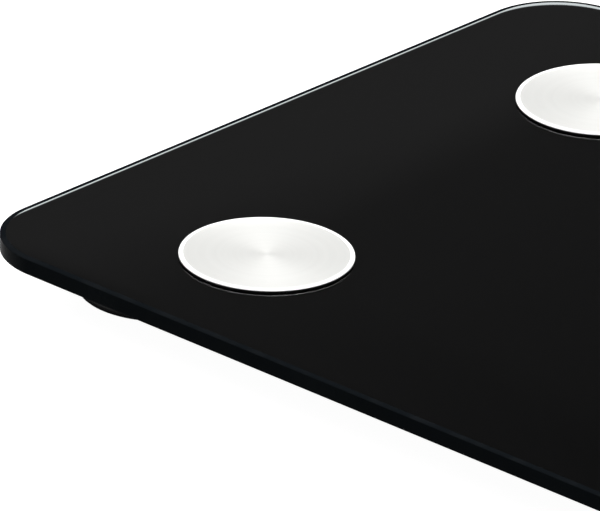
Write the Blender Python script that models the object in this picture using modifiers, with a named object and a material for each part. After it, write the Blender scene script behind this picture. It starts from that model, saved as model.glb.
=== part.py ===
"""Glass body-analysis bathroom scale: sprung corner feet, four electrodes and an electronics housing.

Row frame: +X is the user's right, +Y points to the display (toe) side, +Z is up. The floor is z = 0 and the
scale's middle is above the origin. Sizes below are in millimetres and are turned into metres when built.
"""

import math

import bmesh
import bpy
from mathutils import Matrix, Vector

MM = 0.001

# Clearances
FIT_GAP = 0.3
SHANK_CLEARANCE = 0.15
UNION_BITE = 0.2
CUT_OVERSHOOT = 1.0

# Roundness
TURN_STEPS = 32
SMALL_TURN_STEPS = 16
HOLE_STEPS = 12
BLOCK_CORNER_STEPS = 4
EDGE_BEVEL_STEPS = 2
EDGE_BEVEL_ANGLE = 60.0
SMOOTH_ANGLE = 40.0
UPRIGHT_RISE = 0.01
WELD = 0.0001

# Glass platform
GLASS_WIDTH = 380.0
GLASS_DEPTH = 300.0
GLASS_THICKNESS = 6.0
GLASS_TOP = 23.0
GLASS_CORNER_RADIUS = 30.0
GLASS_CORNER_STEPS = 8
GLASS_ARRIS = 1.0
GLASS_UNDERSIDE = GLASS_TOP - GLASS_THICKNESS

# Spun steel electrodes
ELECTRODE_RADIUS = 30.0
ELECTRODE_THICKNESS = 1.0
ELECTRODE_GLUE_LINE = 0.2
ELECTRODE_BEVEL = 0.45
ELECTRODE_LIP_WIDTH = 1.1
ELECTRODE_DISH_DEPTH = 0.25
ELECTRODE_DISH_SLOPE = 0.5
ELECTRODE_SMOOTH_ANGLE = 15.0
HEEL_ELECTRODE_SIDE_INSET = 85.0
HEEL_ELECTRODE_EDGE_INSET = 60.0
TOE_ELECTRODE_SIDE_INSET = 78.0
TOE_ELECTRODE_EDGE_INSET = 62.0
ELECTRODE_BOTTOM = GLASS_TOP + ELECTRODE_GLUE_LINE
ELECTRODE_TOP = ELECTRODE_BOTTOM + ELECTRODE_THICKNESS

# Contact stud through the glass, its ring terminal and its lead
STUD_RADIUS = 3.2
STUD_FLANGE_RADIUS = 5.2
STUD_FLANGE_THICKNESS = 0.9
STUD_PIN_RADIUS = 1.5
STUD_PIN_BOTTOM = 13.9
STUD_HOLE_RADIUS = 4.0
STUD_HOLE_STEPS = 16
TERMINAL_RADIUS = 4.2
TERMINAL_HOLE_RADIUS = 1.8
TERMINAL_THICKNESS = 0.8
TERMINAL_TAB_LENGTH = 5.0
TERMINAL_TAB_WIDTH = 3.0
TERMINAL_TAB_INSET = 0.1
TERMINAL_TOP = GLASS_UNDERSIDE - FIT_GAP - STUD_FLANGE_THICKNESS - FIT_GAP
LEAD_RADIUS = 0.6

# Load cell: an E-cut steel plate held by its outer frame
CELL_SIZE = 31.0
CELL_THICKNESS = 1.5
CELL_BOTTOM = 10.0
CELL_CORNER_RADIUS = 3.0
CELL_CORNER_STEPS = 3
CELL_FRAME = 5.0
CELL_SLOT = 2.2
CELL_GAUGE_LENGTH = 6.0
CELL_GAUGE_HEIGHT = 0.8
CELL_GAUGE_SIDE_MARGIN = 1.5
CELL_TOP = CELL_BOTTOM + CELL_THICKNESS

# Corner feet, each built around its load cell
FOOT_INSET = 47.0
CELL_CORNER_ROOM = 1.58
BRACKET_WALL = 1.8
BRACKET_INNER_RADIUS = CELL_SIZE / math.sqrt(2) + CELL_CORNER_ROOM
BRACKET_DRUM_RADIUS = BRACKET_INNER_RADIUS + BRACKET_WALL
BRACKET_FLANGE_THICKNESS = 1.8
BRACKET_FLANGE_MARGIN = 1.5
BRACKET_ROOF_THICKNESS = 2.5
BRACKET_DRUM_BOTTOM = 8.0
BRACKET_RIB_WIDTH = 3.0
BRACKET_RIB_LENGTH = CELL_SIZE - 7.0
BRACKET_PORT_WIDTH = 3.0
BRACKET_PORT_BOTTOM = 11.7
BRACKET_TOP = GLASS_UNDERSIDE - FIT_GAP
BRACKET_ROOF_BOTTOM = BRACKET_TOP - BRACKET_ROOF_THICKNESS
CUP_WALL = 1.8
CUP_DRUM_CLEARANCE = 0.4
CUP_RADIUS = BRACKET_DRUM_RADIUS + CUP_DRUM_CLEARANCE + CUP_WALL
BRACKET_FLANGE_RADIUS = CUP_RADIUS + BRACKET_FLANGE_MARGIN
CUP_TOP = 10.5
CUP_BOTTOM = 2.2
CUP_FLOOR_THICKNESS = 2.0
CUP_EDGE_RADIUS = 2.0
CUP_EDGE_STEPS = 4
CUP_POST_RADIUS = 4.0
PAD_CUP_INSET = 8.5
PAD_RADIUS = CUP_RADIUS - PAD_CUP_INSET
PAD_RECESS_DEPTH = 0.7
PAD_EDGE_BEVEL = 0.5
FOOT_TRAVEL = 0.6

# Cell cables and electrode leads
CABLE_RADIUS = 0.85
CABLE_START_INSIDE = 3.0
CABLE_FLANGE_GAP = 1.0
CABLE_WALL_GAP = 2.0
LEAD_STRAIGHT = 2.0
CABLE_PORT_HEIGHT = 12.9
CABLE_CEILING_HEIGHT = GLASS_UNDERSIDE - FIT_GAP - CABLE_RADIUS
LEAD_CEILING_HEIGHT = GLASS_UNDERSIDE - FIT_GAP - LEAD_RADIUS
CABLE_ENTRY_HEIGHT = 13.0
CABLE_RAMP = 7.0
CABLE_BEND = 9.0
CABLE_END_INSIDE = 3.5
CABLE_HOLE_CLEARANCE = 0.35

# AAA cells
BATTERY_RADIUS = 5.25
BATTERY_LENGTH = 44.5
BATTERY_NUB_RADIUS = 1.9
BATTERY_NUB_LENGTH = 1.2
BATTERY_EDGE = 0.4
BATTERY_ROW_GAP = 1.1
BATTERY_ROW_PITCH = BATTERY_RADIUS * 2 + BATTERY_ROW_GAP

# Housing tray, wide enough for the bay and the cable channels beside it
BAY_SPRING_ROOM = 4.0
BAY_HALF_LENGTH = BATTERY_LENGTH + BAY_SPRING_ROOM
HOUSING_CHANNEL = 26.5
HOUSING_HALF_WIDTH = BAY_HALF_LENGTH + HOUSING_CHANNEL
HOUSING_EDGE_INSET = 4.0
HOUSING_DEPTH = 90.0
HOUSING_TOE_Y = GLASS_DEPTH / 2 - HOUSING_EDGE_INSET
HOUSING_HEEL_Y = HOUSING_TOE_Y - HOUSING_DEPTH
HOUSING_BOTTOM = 3.5
HOUSING_WALL = 2.0
HOUSING_FLOOR = 2.0
HOUSING_CORNER_RADIUS = 8.0
HOUSING_CORNER_STEPS = 5
HOUSING_TOP = GLASS_UNDERSIDE - FIT_GAP
HOUSING_FLOOR_TOP = HOUSING_BOTTOM + HOUSING_FLOOR
LEAD_ENTRY_SPACING = 5.5
TOE_CABLE_ENTRY_Y = GLASS_DEPTH / 2 - FOOT_INSET
TOE_LEAD_ENTRY_Y = TOE_CABLE_ENTRY_Y - LEAD_ENTRY_SPACING
HEEL_CABLE_ENTRY_X = HOUSING_HALF_WIDTH - 13.0
HEEL_LEAD_ENTRY_X = HOUSING_HALF_WIDTH - 7.0

# Battery bay, its contacts and its door
BAY_SLACK = 0.8
BAY_DEPTH = BATTERY_ROW_PITCH * 2 + BAY_SLACK
BAY_PARTITION = 1.5
BAY_HEEL_Y = HOUSING_HEEL_Y + HOUSING_WALL
BAY_TOE_Y = BAY_HEEL_Y + BAY_DEPTH
DOOR_SIDE_LAP = 0.5
DOOR_HALF_WIDTH = BAY_HALF_LENGTH + DOOR_SIDE_LAP
DOOR_TONGUE = 2.0
DOOR_TONGUE_THICKNESS = 0.5
DOOR_THICKNESS = 1.7
DOOR_TOE_SHELF = 2.0
DOOR_TOE_Y = BAY_TOE_Y - DOOR_TOE_SHELF
DOOR_GRIP_COUNT = 4
DOOR_GRIP_START = 3.9
DOOR_GRIP_PITCH = 2.6
DOOR_GRIP_DEPTH = 0.5
DOOR_GRIP_LENGTH = 24.0
DOOR_GRIP_WIDTH = 1.2
DOOR_TOP = HOUSING_BOTTOM + DOOR_THICKNESS
BATTERY_AXIS_HEIGHT = DOOR_TOP + FIT_GAP + BATTERY_RADIUS
CONTACT_THICKNESS = 0.4
CONTACT_WIDTH = 8.0
CONTACT_HEIGHT = 8.0
SPRING_RADIUS = 3.2
SPRING_TIP_RADIUS = 2.2
SPRING_WIRE_RADIUS = 0.3
SPRING_TURNS = 3.5
SPRING_STEPS_PER_TURN = 10

# Circuit board, display, controller, switch and unit button
DISPLAY_EDGE_INSET = 36.0
DISPLAY_Y = GLASS_DEPTH / 2 - DISPLAY_EDGE_INSET
BOARD_HALF_WIDTH = HOUSING_HALF_WIDTH - 11.0
BOARD_DEPTH = 50.0
BOARD_TOE_GAP = 4.0
BOARD_TOE_Y = HOUSING_TOE_Y - HOUSING_WALL - BOARD_TOE_GAP
BOARD_HEEL_Y = BOARD_TOE_Y - BOARD_DEPTH
BOARD_BOTTOM = 9.0
BOARD_THICKNESS = 1.6
BOARD_TOP = BOARD_BOTTOM + BOARD_THICKNESS
BOARD_POST_RADIUS = 2.5
BOARD_POST_X = 30.0
BOARD_POST_INSET = 4.0
DISPLAY_WIDTH = 78.0
DISPLAY_DEPTH = 34.0
DISPLAY_THICKNESS = 2.8
DISPLAY_TOP = HOUSING_TOP - FIT_GAP
DISPLAY_BOTTOM = DISPLAY_TOP - DISPLAY_THICKNESS
HOLDER_MARGIN = 1.0
HOLDER_EDGE = 0.4
CONTROLLER_SIZE = 10.0
CONTROLLER_THICKNESS = 1.2
CONTROLLER_EDGE = 0.3
CONTROLLER_HOLDER_GAP = 7.0
CONTROLLER_X = DISPLAY_WIDTH / 2 + HOLDER_MARGIN + CONTROLLER_HOLDER_GAP + CONTROLLER_SIZE / 2
CONTROLLER_Y = DISPLAY_Y - 2.0
BUTTON_X = -(HOUSING_HALF_WIDTH - 21.0)
BUTTON_Y = DISPLAY_Y + 4.0
BUTTON_RADIUS = 4.0
BUTTON_BOTTOM = 2.8
BUTTON_FLANGE_RADIUS = 5.4
BUTTON_FLANGE_THICKNESS = 0.6
BUTTON_STEM_RADIUS = 1.5
BUTTON_STEM_LENGTH = 0.6
BUTTON_EDGE = 0.3
BUTTON_TRAVEL = 0.6
SWITCH_SIZE = 6.0
BUTTON_STEM_TOP = HOUSING_FLOOR_TOP + FIT_GAP + BUTTON_FLANGE_THICKNESS + BUTTON_STEM_LENGTH
SWITCH_BOTTOM = BUTTON_STEM_TOP + BUTTON_TRAVEL + FIT_GAP

# Housing cover and its screws
COVER_THICKNESS = 1.5
COVER_HEEL_Y = BAY_TOE_Y + BAY_PARTITION + FIT_GAP
COVER_WINDOW_MARGIN = 2.0
COVER_POST_RADIUS = 3.0
COVER_POST_BOTTOM = 6.8
COVER_CORNER_RADIUS = 6.0
SCREW_EDGE_INSET = 5.7
SCREW_X = HOUSING_HALF_WIDTH - 7.0
SCREW_HEEL_Y = COVER_HEEL_Y + SCREW_EDGE_INSET
SCREW_TOE_Y = HOUSING_TOE_Y - 6.5
SCREW_RADIUS = 1.25
SCREW_TIP_RADIUS = SCREW_RADIUS / 2
SCREW_HEAD_RADIUS = 2.7
SCREW_HEAD_BOTTOM = 3.8
SCREW_HEAD_HEIGHT = 0.9
SCREW_HEAD_CHAMFER_WIDTH = 0.5
SCREW_HEAD_CHAMFER_HEIGHT = 0.3
SCREW_TOP = 12.5
SCREW_RECESS_WIDTH = 0.7
SCREW_RECESS_LENGTH = 3.0
SCREW_RECESS_DEPTH = 0.5
SCREW_SEAT_THICKNESS = 0.5
COVER_BOTTOM = HOUSING_TOP - COVER_THICKNESS

CORNERS = {
    "heel_left": (-1, -1),
    "heel_right": (1, -1),
    "toe_left": (-1, 1),
    "toe_right": (1, 1),
}

FINISHES = {
    "glass": ((0.02, 0.021, 0.024), 0.05, 0.0),
    "spun_steel": ((0.72, 0.71, 0.70), 0.25, 1.0),
    "plated_steel": ((0.62, 0.62, 0.60), 0.35, 1.0),
    "cell_steel": ((0.48, 0.49, 0.50), 0.4, 1.0),
    "black_plastic": ((0.022, 0.022, 0.024), 0.5, 0.0),
    "white_plastic": ((0.8, 0.8, 0.78), 0.5, 0.0),
    "rubber": ((0.03, 0.03, 0.03), 0.85, 0.0),
    "board_green": ((0.03, 0.16, 0.07), 0.5, 0.0),
    "display_grey": ((0.33, 0.37, 0.31), 0.15, 0.0),
    "battery_jacket": ((0.06, 0.14, 0.33), 0.35, 0.0),
    "cable_jacket": ((0.10, 0.10, 0.11), 0.6, 0.0),
    "lead_jacket": ((0.55, 0.04, 0.04), 0.6, 0.0),
}


def clear_scene():
    """Remove every object of the startup scene."""
    for obj in list(bpy.data.objects):
        bpy.data.objects.remove(obj, do_unlink=True)


def make_collection(name):
    """Make a collection in the scene."""
    collection = bpy.data.collections.new(name)
    bpy.context.scene.collection.children.link(collection)
    return collection


def make_material(name):
    """Make one plain Principled material from the finish of that name."""
    colour, roughness, metallic = FINISHES[name]
    material = bpy.data.materials.new(name)
    material.use_nodes = True
    shader = material.node_tree.nodes["Principled BSDF"]
    shader.inputs["Base Color"].default_value = (*colour, 1.0)
    shader.inputs["Roughness"].default_value = roughness
    shader.inputs["Metallic"].default_value = metallic
    material.diffuse_color = (*colour, 1.0)
    return material


class Shop:
    """Holds the collections and materials, and makes named pieces in them."""

    def __init__(self):
        self.parts = make_collection("bathroom_scale")
        self.cutters = make_collection("cutters")
        self.materials = {name: make_material(name) for name in FINISHES}

    def piece(self, name, mesh, finish=None):
        """Add an object: a part when it has a finish, a hidden cutter when it has none."""
        obj = bpy.data.objects.new(name, mesh)
        if finish:
            self.parts.objects.link(obj)
            mesh.materials.append(self.materials[finish])
        else:
            self.cutters.objects.link(obj)
            obj.hide_render = True
            obj.display_type = "WIRE"
        return obj

    def block(
        self, name, low, high, finish=None, corner=0.0, corner_steps=BLOCK_CORNER_STEPS, edge=0.0
    ):
        """A block between two corners, with round vertical edges and a small bevel on the others."""
        size = [b - a for a, b in zip(low, high)]
        centre = [(a + b) / 2 for a, b in zip(low, high)]
        shape = bmesh.new()
        bmesh.ops.create_cube(shape, size=1.0)
        bmesh.ops.scale(shape, vec=Vector(size) * MM, verts=shape.verts)
        if corner:
            upright = [
                e for e in shape.edges if abs(e.verts[0].co.z - e.verts[1].co.z) > UPRIGHT_RISE * MM
            ]
            bmesh.ops.bevel(
                shape, geom=upright, offset=corner * MM, segments=corner_steps, profile=0.5, affect="EDGES"
            )
        mesh = bpy.data.meshes.new(name)
        shape.to_mesh(mesh)
        shape.free()
        obj = self.piece(name, mesh, finish)
        obj.location = Vector(centre) * MM
        if edge:
            bevel = obj.modifiers.new("edge", "BEVEL")
            bevel.width = edge * MM
            bevel.segments = EDGE_BEVEL_STEPS
            bevel.limit_method = "ANGLE"
            bevel.angle_limit = math.radians(EDGE_BEVEL_ANGLE)
        return obj

    def turned(self, name, profile, centre, finish=None, steps=TURN_STEPS):
        """A turned shape about +Z from (radius, height) points running down its outer side."""
        mesh = bpy.data.meshes.new(name)
        points = [(radius * MM, 0.0, height * MM) for radius, height in profile]
        mesh.from_pydata(points, [(i, i + 1) for i in range(len(points) - 1)], [])
        obj = self.piece(name, mesh, finish)
        obj.location = (centre[0] * MM, centre[1] * MM, 0.0)
        screw = obj.modifiers.new("turn", "SCREW")
        screw.steps = steps
        screw.render_steps = steps
        screw.use_merge_vertices = True
        screw.merge_threshold = WELD
        return obj

    def rod(self, name, radius, low, high, centre, finish=None, steps=SMALL_TURN_STEPS):
        """A plain upright cylinder."""
        profile = [(0.0, high), (radius, high), (radius, low), (0.0, low)]
        return self.turned(name, profile, centre, finish, steps)

    def wire(self, name, points, radius, finish, closed_sides=1):
        """A round wire through points, made from a bevelled curve and turned into a closed mesh."""
        curve = bpy.data.curves.new(name, "CURVE")
        curve.dimensions = "3D"
        curve.bevel_depth = radius * MM
        curve.bevel_resolution = closed_sides
        curve.use_fill_caps = True
        line = curve.splines.new("POLY")
        line.points.add(len(points) - 1)
        for knot, point in zip(line.points, points):
            knot.co = (*(Vector(point) * MM), 1.0)
        guide = bpy.data.objects.new(name + "_guide", curve)
        self.cutters.objects.link(guide)
        bpy.context.view_layer.update()
        mesh = bpy.data.meshes.new_from_object(guide.evaluated_get(bpy.context.evaluated_depsgraph_get()))
        bpy.data.objects.remove(guide, do_unlink=True)
        shape = bmesh.new()
        shape.from_mesh(mesh)
        bmesh.ops.remove_doubles(shape, verts=shape.verts, dist=WELD * 0.1)
        bmesh.ops.recalc_face_normals(shape, faces=shape.faces)
        shape.to_mesh(mesh)
        shape.free()
        mesh.name = name
        mesh.materials.clear()
        return self.piece(name, mesh, finish)


def combine(obj, others, operation):
    """Join or cut an object with each of the others, in order."""
    for other in others:
        step = obj.modifiers.new(operation.lower(), "BOOLEAN")
        step.operation = operation
        step.solver = "EXACT"
        step.object = other


def smooth(obj, angle=SMOOTH_ANGLE):
    """Shade round faces smooth and keep the crisp edges."""
    for face in obj.data.polygons:
        face.use_smooth = True
    for modifier in obj.modifiers:
        if modifier.type == "SCREW":
            modifier.use_smooth_shade = True
    obj.data.set_sharp_from_angle(angle=math.radians(angle))


def electrode_centre(side, end):
    """Where an electrode and its stud stand: side is -1 left or 1 right, end is -1 heel or 1 toe."""
    if end < 0:
        return (
            side * (GLASS_WIDTH / 2 - HEEL_ELECTRODE_SIDE_INSET),
            end * (GLASS_DEPTH / 2 - HEEL_ELECTRODE_EDGE_INSET),
        )
    return (
        side * (GLASS_WIDTH / 2 - TOE_ELECTRODE_SIDE_INSET),
        end * (GLASS_DEPTH / 2 - TOE_ELECTRODE_EDGE_INSET),
    )


def foot_centre(side, end):
    """Where a corner foot's upright axis stands."""
    return (side * (GLASS_WIDTH / 2 - FOOT_INSET), end * (GLASS_DEPTH / 2 - FOOT_INSET))


def build_glass(shop):
    """The drilled glass platform with rounded corners and ground arrises."""
    half_width, half_depth = GLASS_WIDTH / 2, GLASS_DEPTH / 2
    glass = shop.block(
        "glass_platform",
        (-half_width, -half_depth, GLASS_UNDERSIDE),
        (half_width, half_depth, GLASS_TOP),
        "glass",
        corner=GLASS_CORNER_RADIUS,
        corner_steps=GLASS_CORNER_STEPS,
        edge=GLASS_ARRIS,
    )
    holes = []
    for name, (side, end) in CORNERS.items():
        holes.append(
            shop.rod(
                "stud_hole_" + name,
                STUD_HOLE_RADIUS,
                GLASS_UNDERSIDE - CUT_OVERSHOOT,
                GLASS_TOP + CUT_OVERSHOOT,
                electrode_centre(side, end),
                steps=STUD_HOLE_STEPS,
            )
        )
    combine(glass, holes, "DIFFERENCE")


def build_electrode(shop, name, side, end):
    """One shallow spun steel disc with a raised, bevelled lip."""
    lip_inside = ELECTRODE_RADIUS - ELECTRODE_BEVEL - ELECTRODE_LIP_WIDTH
    dish = ELECTRODE_TOP - ELECTRODE_DISH_DEPTH
    profile = [
        (0.0, dish),
        (lip_inside - ELECTRODE_DISH_SLOPE, dish),
        (lip_inside, ELECTRODE_TOP),
        (ELECTRODE_RADIUS - ELECTRODE_BEVEL, ELECTRODE_TOP),
        (ELECTRODE_RADIUS, ELECTRODE_TOP - ELECTRODE_BEVEL),
        (ELECTRODE_RADIUS, ELECTRODE_BOTTOM),
        (0.0, ELECTRODE_BOTTOM),
    ]
    disc = shop.turned("electrode_" + name, profile, electrode_centre(side, end), "spun_steel")
    smooth(disc, ELECTRODE_SMOOTH_ANGLE)


def build_stud(shop, name, side, end):
    """The contact stud that passes through the glass under an electrode."""
    flange_top = GLASS_UNDERSIDE - FIT_GAP
    flange_bottom = flange_top - STUD_FLANGE_THICKNESS
    profile = [
        (0.0, ELECTRODE_BOTTOM - FIT_GAP),
        (STUD_RADIUS, ELECTRODE_BOTTOM - FIT_GAP),
        (STUD_RADIUS, flange_top),
        (STUD_FLANGE_RADIUS, flange_top),
        (STUD_FLANGE_RADIUS, flange_bottom),
        (STUD_PIN_RADIUS, flange_bottom),
        (STUD_PIN_RADIUS, STUD_PIN_BOTTOM),
        (0.0, STUD_PIN_BOTTOM),
    ]
    centre = electrode_centre(side, end)
    stud = shop.turned("electrode_stud_" + name, profile, centre, "plated_steel", SMALL_TURN_STEPS)
    smooth(stud)


def build_terminal(shop, name, side, end):
    """The ring terminal on a stud's pin, with its crimp tab towards the middle of the scale."""
    x, y = electrode_centre(side, end)
    low = TERMINAL_TOP - TERMINAL_THICKNESS
    ring = shop.rod("electrode_terminal_" + name, TERMINAL_RADIUS, low, TERMINAL_TOP, (x, y), "plated_steel")
    tab_start = x - side * (TERMINAL_RADIUS - CUT_OVERSHOOT)
    tab_end = x - side * (TERMINAL_RADIUS + TERMINAL_TAB_LENGTH)
    tab = shop.block(
        "terminal_tab_" + name,
        (min(tab_start, tab_end), y - TERMINAL_TAB_WIDTH / 2, low + TERMINAL_TAB_INSET),
        (max(tab_start, tab_end), y + TERMINAL_TAB_WIDTH / 2, TERMINAL_TOP - TERMINAL_TAB_INSET),
    )
    hole = shop.rod(
        "terminal_hole_" + name,
        TERMINAL_HOLE_RADIUS,
        low - CUT_OVERSHOOT,
        TERMINAL_TOP + CUT_OVERSHOOT,
        (x, y),
    )
    combine(ring, [tab], "UNION")
    combine(ring, [hole], "DIFFERENCE")


def build_bracket(shop, name, side, end):
    """The drum bonded under the glass that carries a load cell by its frame."""
    x, y = foot_centre(side, end)
    inner = BRACKET_INNER_RADIUS
    flange_bottom = BRACKET_TOP - BRACKET_FLANGE_THICKNESS
    profile = [
        (0.0, BRACKET_TOP),
        (BRACKET_FLANGE_RADIUS, BRACKET_TOP),
        (BRACKET_FLANGE_RADIUS, flange_bottom),
        (BRACKET_DRUM_RADIUS, flange_bottom),
        (BRACKET_DRUM_RADIUS, BRACKET_DRUM_BOTTOM),
        (inner, BRACKET_DRUM_BOTTOM),
        (inner, BRACKET_ROOF_BOTTOM),
        (0.0, BRACKET_ROOF_BOTTOM),
    ]
    bracket = shop.turned("foot_bracket_" + name, profile, (x, y), "black_plastic")
    smooth(bracket)
    ribs = []
    for hand in (-1, 1):
        middle = y + hand * (CELL_SIZE - CELL_FRAME) / 2
        ribs.append(
            shop.block(
                f"bracket_rib_{name}_{hand}",
                (x - BRACKET_RIB_LENGTH / 2, middle - BRACKET_RIB_WIDTH / 2, CELL_TOP + FIT_GAP),
                (
                    x + BRACKET_RIB_LENGTH / 2,
                    middle + BRACKET_RIB_WIDTH / 2,
                    BRACKET_ROOF_BOTTOM + UNION_BITE,
                ),
            )
        )
    port_from = x - side * (inner - CUT_OVERSHOOT * 2)
    port_to = x - side * (BRACKET_DRUM_RADIUS + CUT_OVERSHOOT)
    port = shop.block(
        "bracket_port_" + name,
        (min(port_from, port_to), y - BRACKET_PORT_WIDTH / 2, BRACKET_PORT_BOTTOM),
        (max(port_from, port_to), y + BRACKET_PORT_WIDTH / 2, BRACKET_ROOF_BOTTOM - UNION_BITE),
    )
    combine(bracket, ribs, "UNION")
    combine(bracket, [port], "DIFFERENCE")


def build_cell(shop, name, side, end):
    """The steel load cell: a frame around a centre tongue, with a potted gauge at the tongue's root."""
    x, y = foot_centre(side, end)
    half = CELL_SIZE / 2
    cell = shop.block(
        "load_cell_" + name,
        (x - half, y - half, CELL_BOTTOM),
        (x + half, y + half, CELL_TOP),
        "cell_steel",
        corner=CELL_CORNER_RADIUS,
        corner_steps=CELL_CORNER_STEPS,
    )
    slot_low, slot_high = CELL_BOTTOM - CUT_OVERSHOOT, CELL_TOP + CUT_OVERSHOOT
    inside = half - CELL_FRAME
    root = x - side * inside
    tip = x + side * inside
    slots = []
    for hand in (-1, 1):
        edge = y + hand * inside
        slots.append(
            shop.block(
                f"cell_slot_{name}_{hand}",
                (min(root, tip), min(edge, edge - hand * CELL_SLOT), slot_low),
                (max(root, tip), max(edge, edge - hand * CELL_SLOT), slot_high),
            )
        )
    slots.append(
        shop.block(
            "cell_end_slot_" + name,
            (min(tip, tip - side * CELL_SLOT), y - inside + UNION_BITE, slot_low),
            (max(tip, tip - side * CELL_SLOT), y + inside - UNION_BITE, slot_high),
        )
    )
    gauge_end = root + side * CELL_GAUGE_LENGTH
    gauge_half = inside - CELL_SLOT - CELL_GAUGE_SIDE_MARGIN
    gauge = shop.block(
        "cell_gauge_" + name,
        (min(root, gauge_end), y - gauge_half, CELL_TOP - UNION_BITE),
        (max(root, gauge_end), y + gauge_half, CELL_TOP + CELL_GAUGE_HEIGHT),
    )
    combine(cell, slots, "DIFFERENCE")
    combine(cell, [gauge], "UNION")


def build_cup(shop, name, side, end):
    """The foot cup that moves up against the load cell's tongue."""
    floor_top = CUP_BOTTOM + CUP_FLOOR_THICKNESS
    post_top = CELL_BOTTOM - FIT_GAP - FOOT_TRAVEL
    inner = CUP_RADIUS - CUP_WALL
    recess_radius = PAD_RADIUS + FIT_GAP
    profile = [
        (0.0, post_top),
        (CUP_POST_RADIUS, post_top),
        (CUP_POST_RADIUS, floor_top),
        (inner, floor_top),
        (inner, CUP_TOP),
        (CUP_RADIUS, CUP_TOP),
    ]
    for step in range(CUP_EDGE_STEPS + 1):
        turn = math.pi / 2 * step / CUP_EDGE_STEPS
        profile.append(
            (
                CUP_RADIUS - CUP_EDGE_RADIUS * (1 - math.cos(turn)),
                CUP_BOTTOM + CUP_EDGE_RADIUS * (1 - math.sin(turn)),
            )
        )
    profile += [
        (recess_radius, CUP_BOTTOM),
        (recess_radius, CUP_BOTTOM + PAD_RECESS_DEPTH),
        (0.0, CUP_BOTTOM + PAD_RECESS_DEPTH),
    ]
    smooth(shop.turned("foot_cup_" + name, profile, foot_centre(side, end), "black_plastic"))


def build_pad(shop, name, side, end):
    """The rubber pad under a foot cup."""
    top = CUP_BOTTOM + PAD_RECESS_DEPTH - FIT_GAP
    profile = [
        (0.0, top),
        (PAD_RADIUS, top),
        (PAD_RADIUS, PAD_EDGE_BEVEL),
        (PAD_RADIUS - PAD_EDGE_BEVEL, 0.0),
        (0.0, 0.0),
    ]
    smooth(shop.turned("foot_pad_" + name, profile, foot_centre(side, end), "rubber"))


def ramped(points, ceiling):
    """Give a plan route its heights: low at both ends and up against the glass in between."""
    low_start, low_end = points[0][2], points[-1][2]
    route = [points[0]]
    second = Vector(points[1])
    route.append((second.x, second.y, low_start))
    ahead = (Vector(points[2]) - second).xy.normalized() * CABLE_RAMP
    route.append((second.x + ahead.x, second.y + ahead.y, ceiling))
    for point in points[2:-2]:
        route.append((point[0], point[1], ceiling))
    entry = Vector(points[-2])
    back = (Vector(points[-3]) - entry).xy.normalized() * CABLE_RAMP
    route.append((entry.x + back.x, entry.y + back.y, ceiling))
    route.append((entry.x, entry.y, low_end))
    route.append(points[-1])
    return route


def build_cell_cable(shop, name, side, end):
    """A load cell's cable, from its bracket's port to the housing."""
    x, y = foot_centre(side, end)
    start_x = x - side * (BRACKET_INNER_RADIUS - CABLE_START_INSIDE)
    clear_x = x - side * (BRACKET_FLANGE_RADIUS + CABLE_FLANGE_GAP)
    if end > 0:
        plan = [
            (start_x, y, CABLE_PORT_HEIGHT),
            (clear_x, y, CABLE_PORT_HEIGHT),
            (side * (HOUSING_HALF_WIDTH + CABLE_RAMP * 2), TOE_CABLE_ENTRY_Y, 0.0),
            (side * (HOUSING_HALF_WIDTH + CABLE_WALL_GAP), TOE_CABLE_ENTRY_Y, 0.0),
            (side * (HOUSING_HALF_WIDTH - CABLE_END_INSIDE), TOE_CABLE_ENTRY_Y, CABLE_ENTRY_HEIGHT),
        ]
    else:
        column = side * HEEL_CABLE_ENTRY_X
        plan = [
            (start_x, y, CABLE_PORT_HEIGHT),
            (clear_x, y, CABLE_PORT_HEIGHT),
            (column + side * CABLE_BEND, y, 0.0),
            (column, y + CABLE_BEND, 0.0),
            (column, HOUSING_HEEL_Y - CABLE_WALL_GAP, 0.0),
            (column, HOUSING_HEEL_Y + CABLE_END_INSIDE, CABLE_ENTRY_HEIGHT),
        ]
    route = ramped(plan, CABLE_CEILING_HEIGHT)
    smooth(shop.wire("load_cell_cable_" + name, route, CABLE_RADIUS, "cable_jacket"))


def build_lead(shop, name, side, end):
    """An electrode's lead, from its terminal's tab to the housing."""
    x, y = electrode_centre(side, end)
    height = TERMINAL_TOP - TERMINAL_THICKNESS / 2
    start_x = x - side * (TERMINAL_RADIUS + TERMINAL_TAB_LENGTH + FIT_GAP)
    if end > 0:
        plan = [
            (start_x, y, height),
            (start_x - side * LEAD_STRAIGHT, y, height),
            (side * (HOUSING_HALF_WIDTH + CABLE_RAMP * 2), TOE_LEAD_ENTRY_Y, 0.0),
            (side * (HOUSING_HALF_WIDTH + CABLE_WALL_GAP), TOE_LEAD_ENTRY_Y, 0.0),
            (side * (HOUSING_HALF_WIDTH - CABLE_END_INSIDE), TOE_LEAD_ENTRY_Y, CABLE_ENTRY_HEIGHT),
        ]
    else:
        column = side * HEEL_LEAD_ENTRY_X
        plan = [
            (start_x, y, height),
            (start_x - side * LEAD_STRAIGHT, y, height),
            (column + side * CABLE_BEND, y, 0.0),
            (column, y + CABLE_BEND, 0.0),
            (column, HOUSING_HEEL_Y - CABLE_WALL_GAP, 0.0),
            (column, HOUSING_HEEL_Y + CABLE_END_INSIDE, CABLE_ENTRY_HEIGHT),
        ]
    route = ramped(plan, LEAD_CEILING_HEIGHT)
    smooth(shop.wire("electrode_lead_" + name, route, LEAD_RADIUS, "lead_jacket"))


def screw_centres():
    """Names and places of the housing screws."""
    centres = {}
    for name, (side, end) in CORNERS.items():
        centres[name] = (side * SCREW_X, SCREW_TOE_Y if end > 0 else SCREW_HEEL_Y)
    return centres


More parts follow.
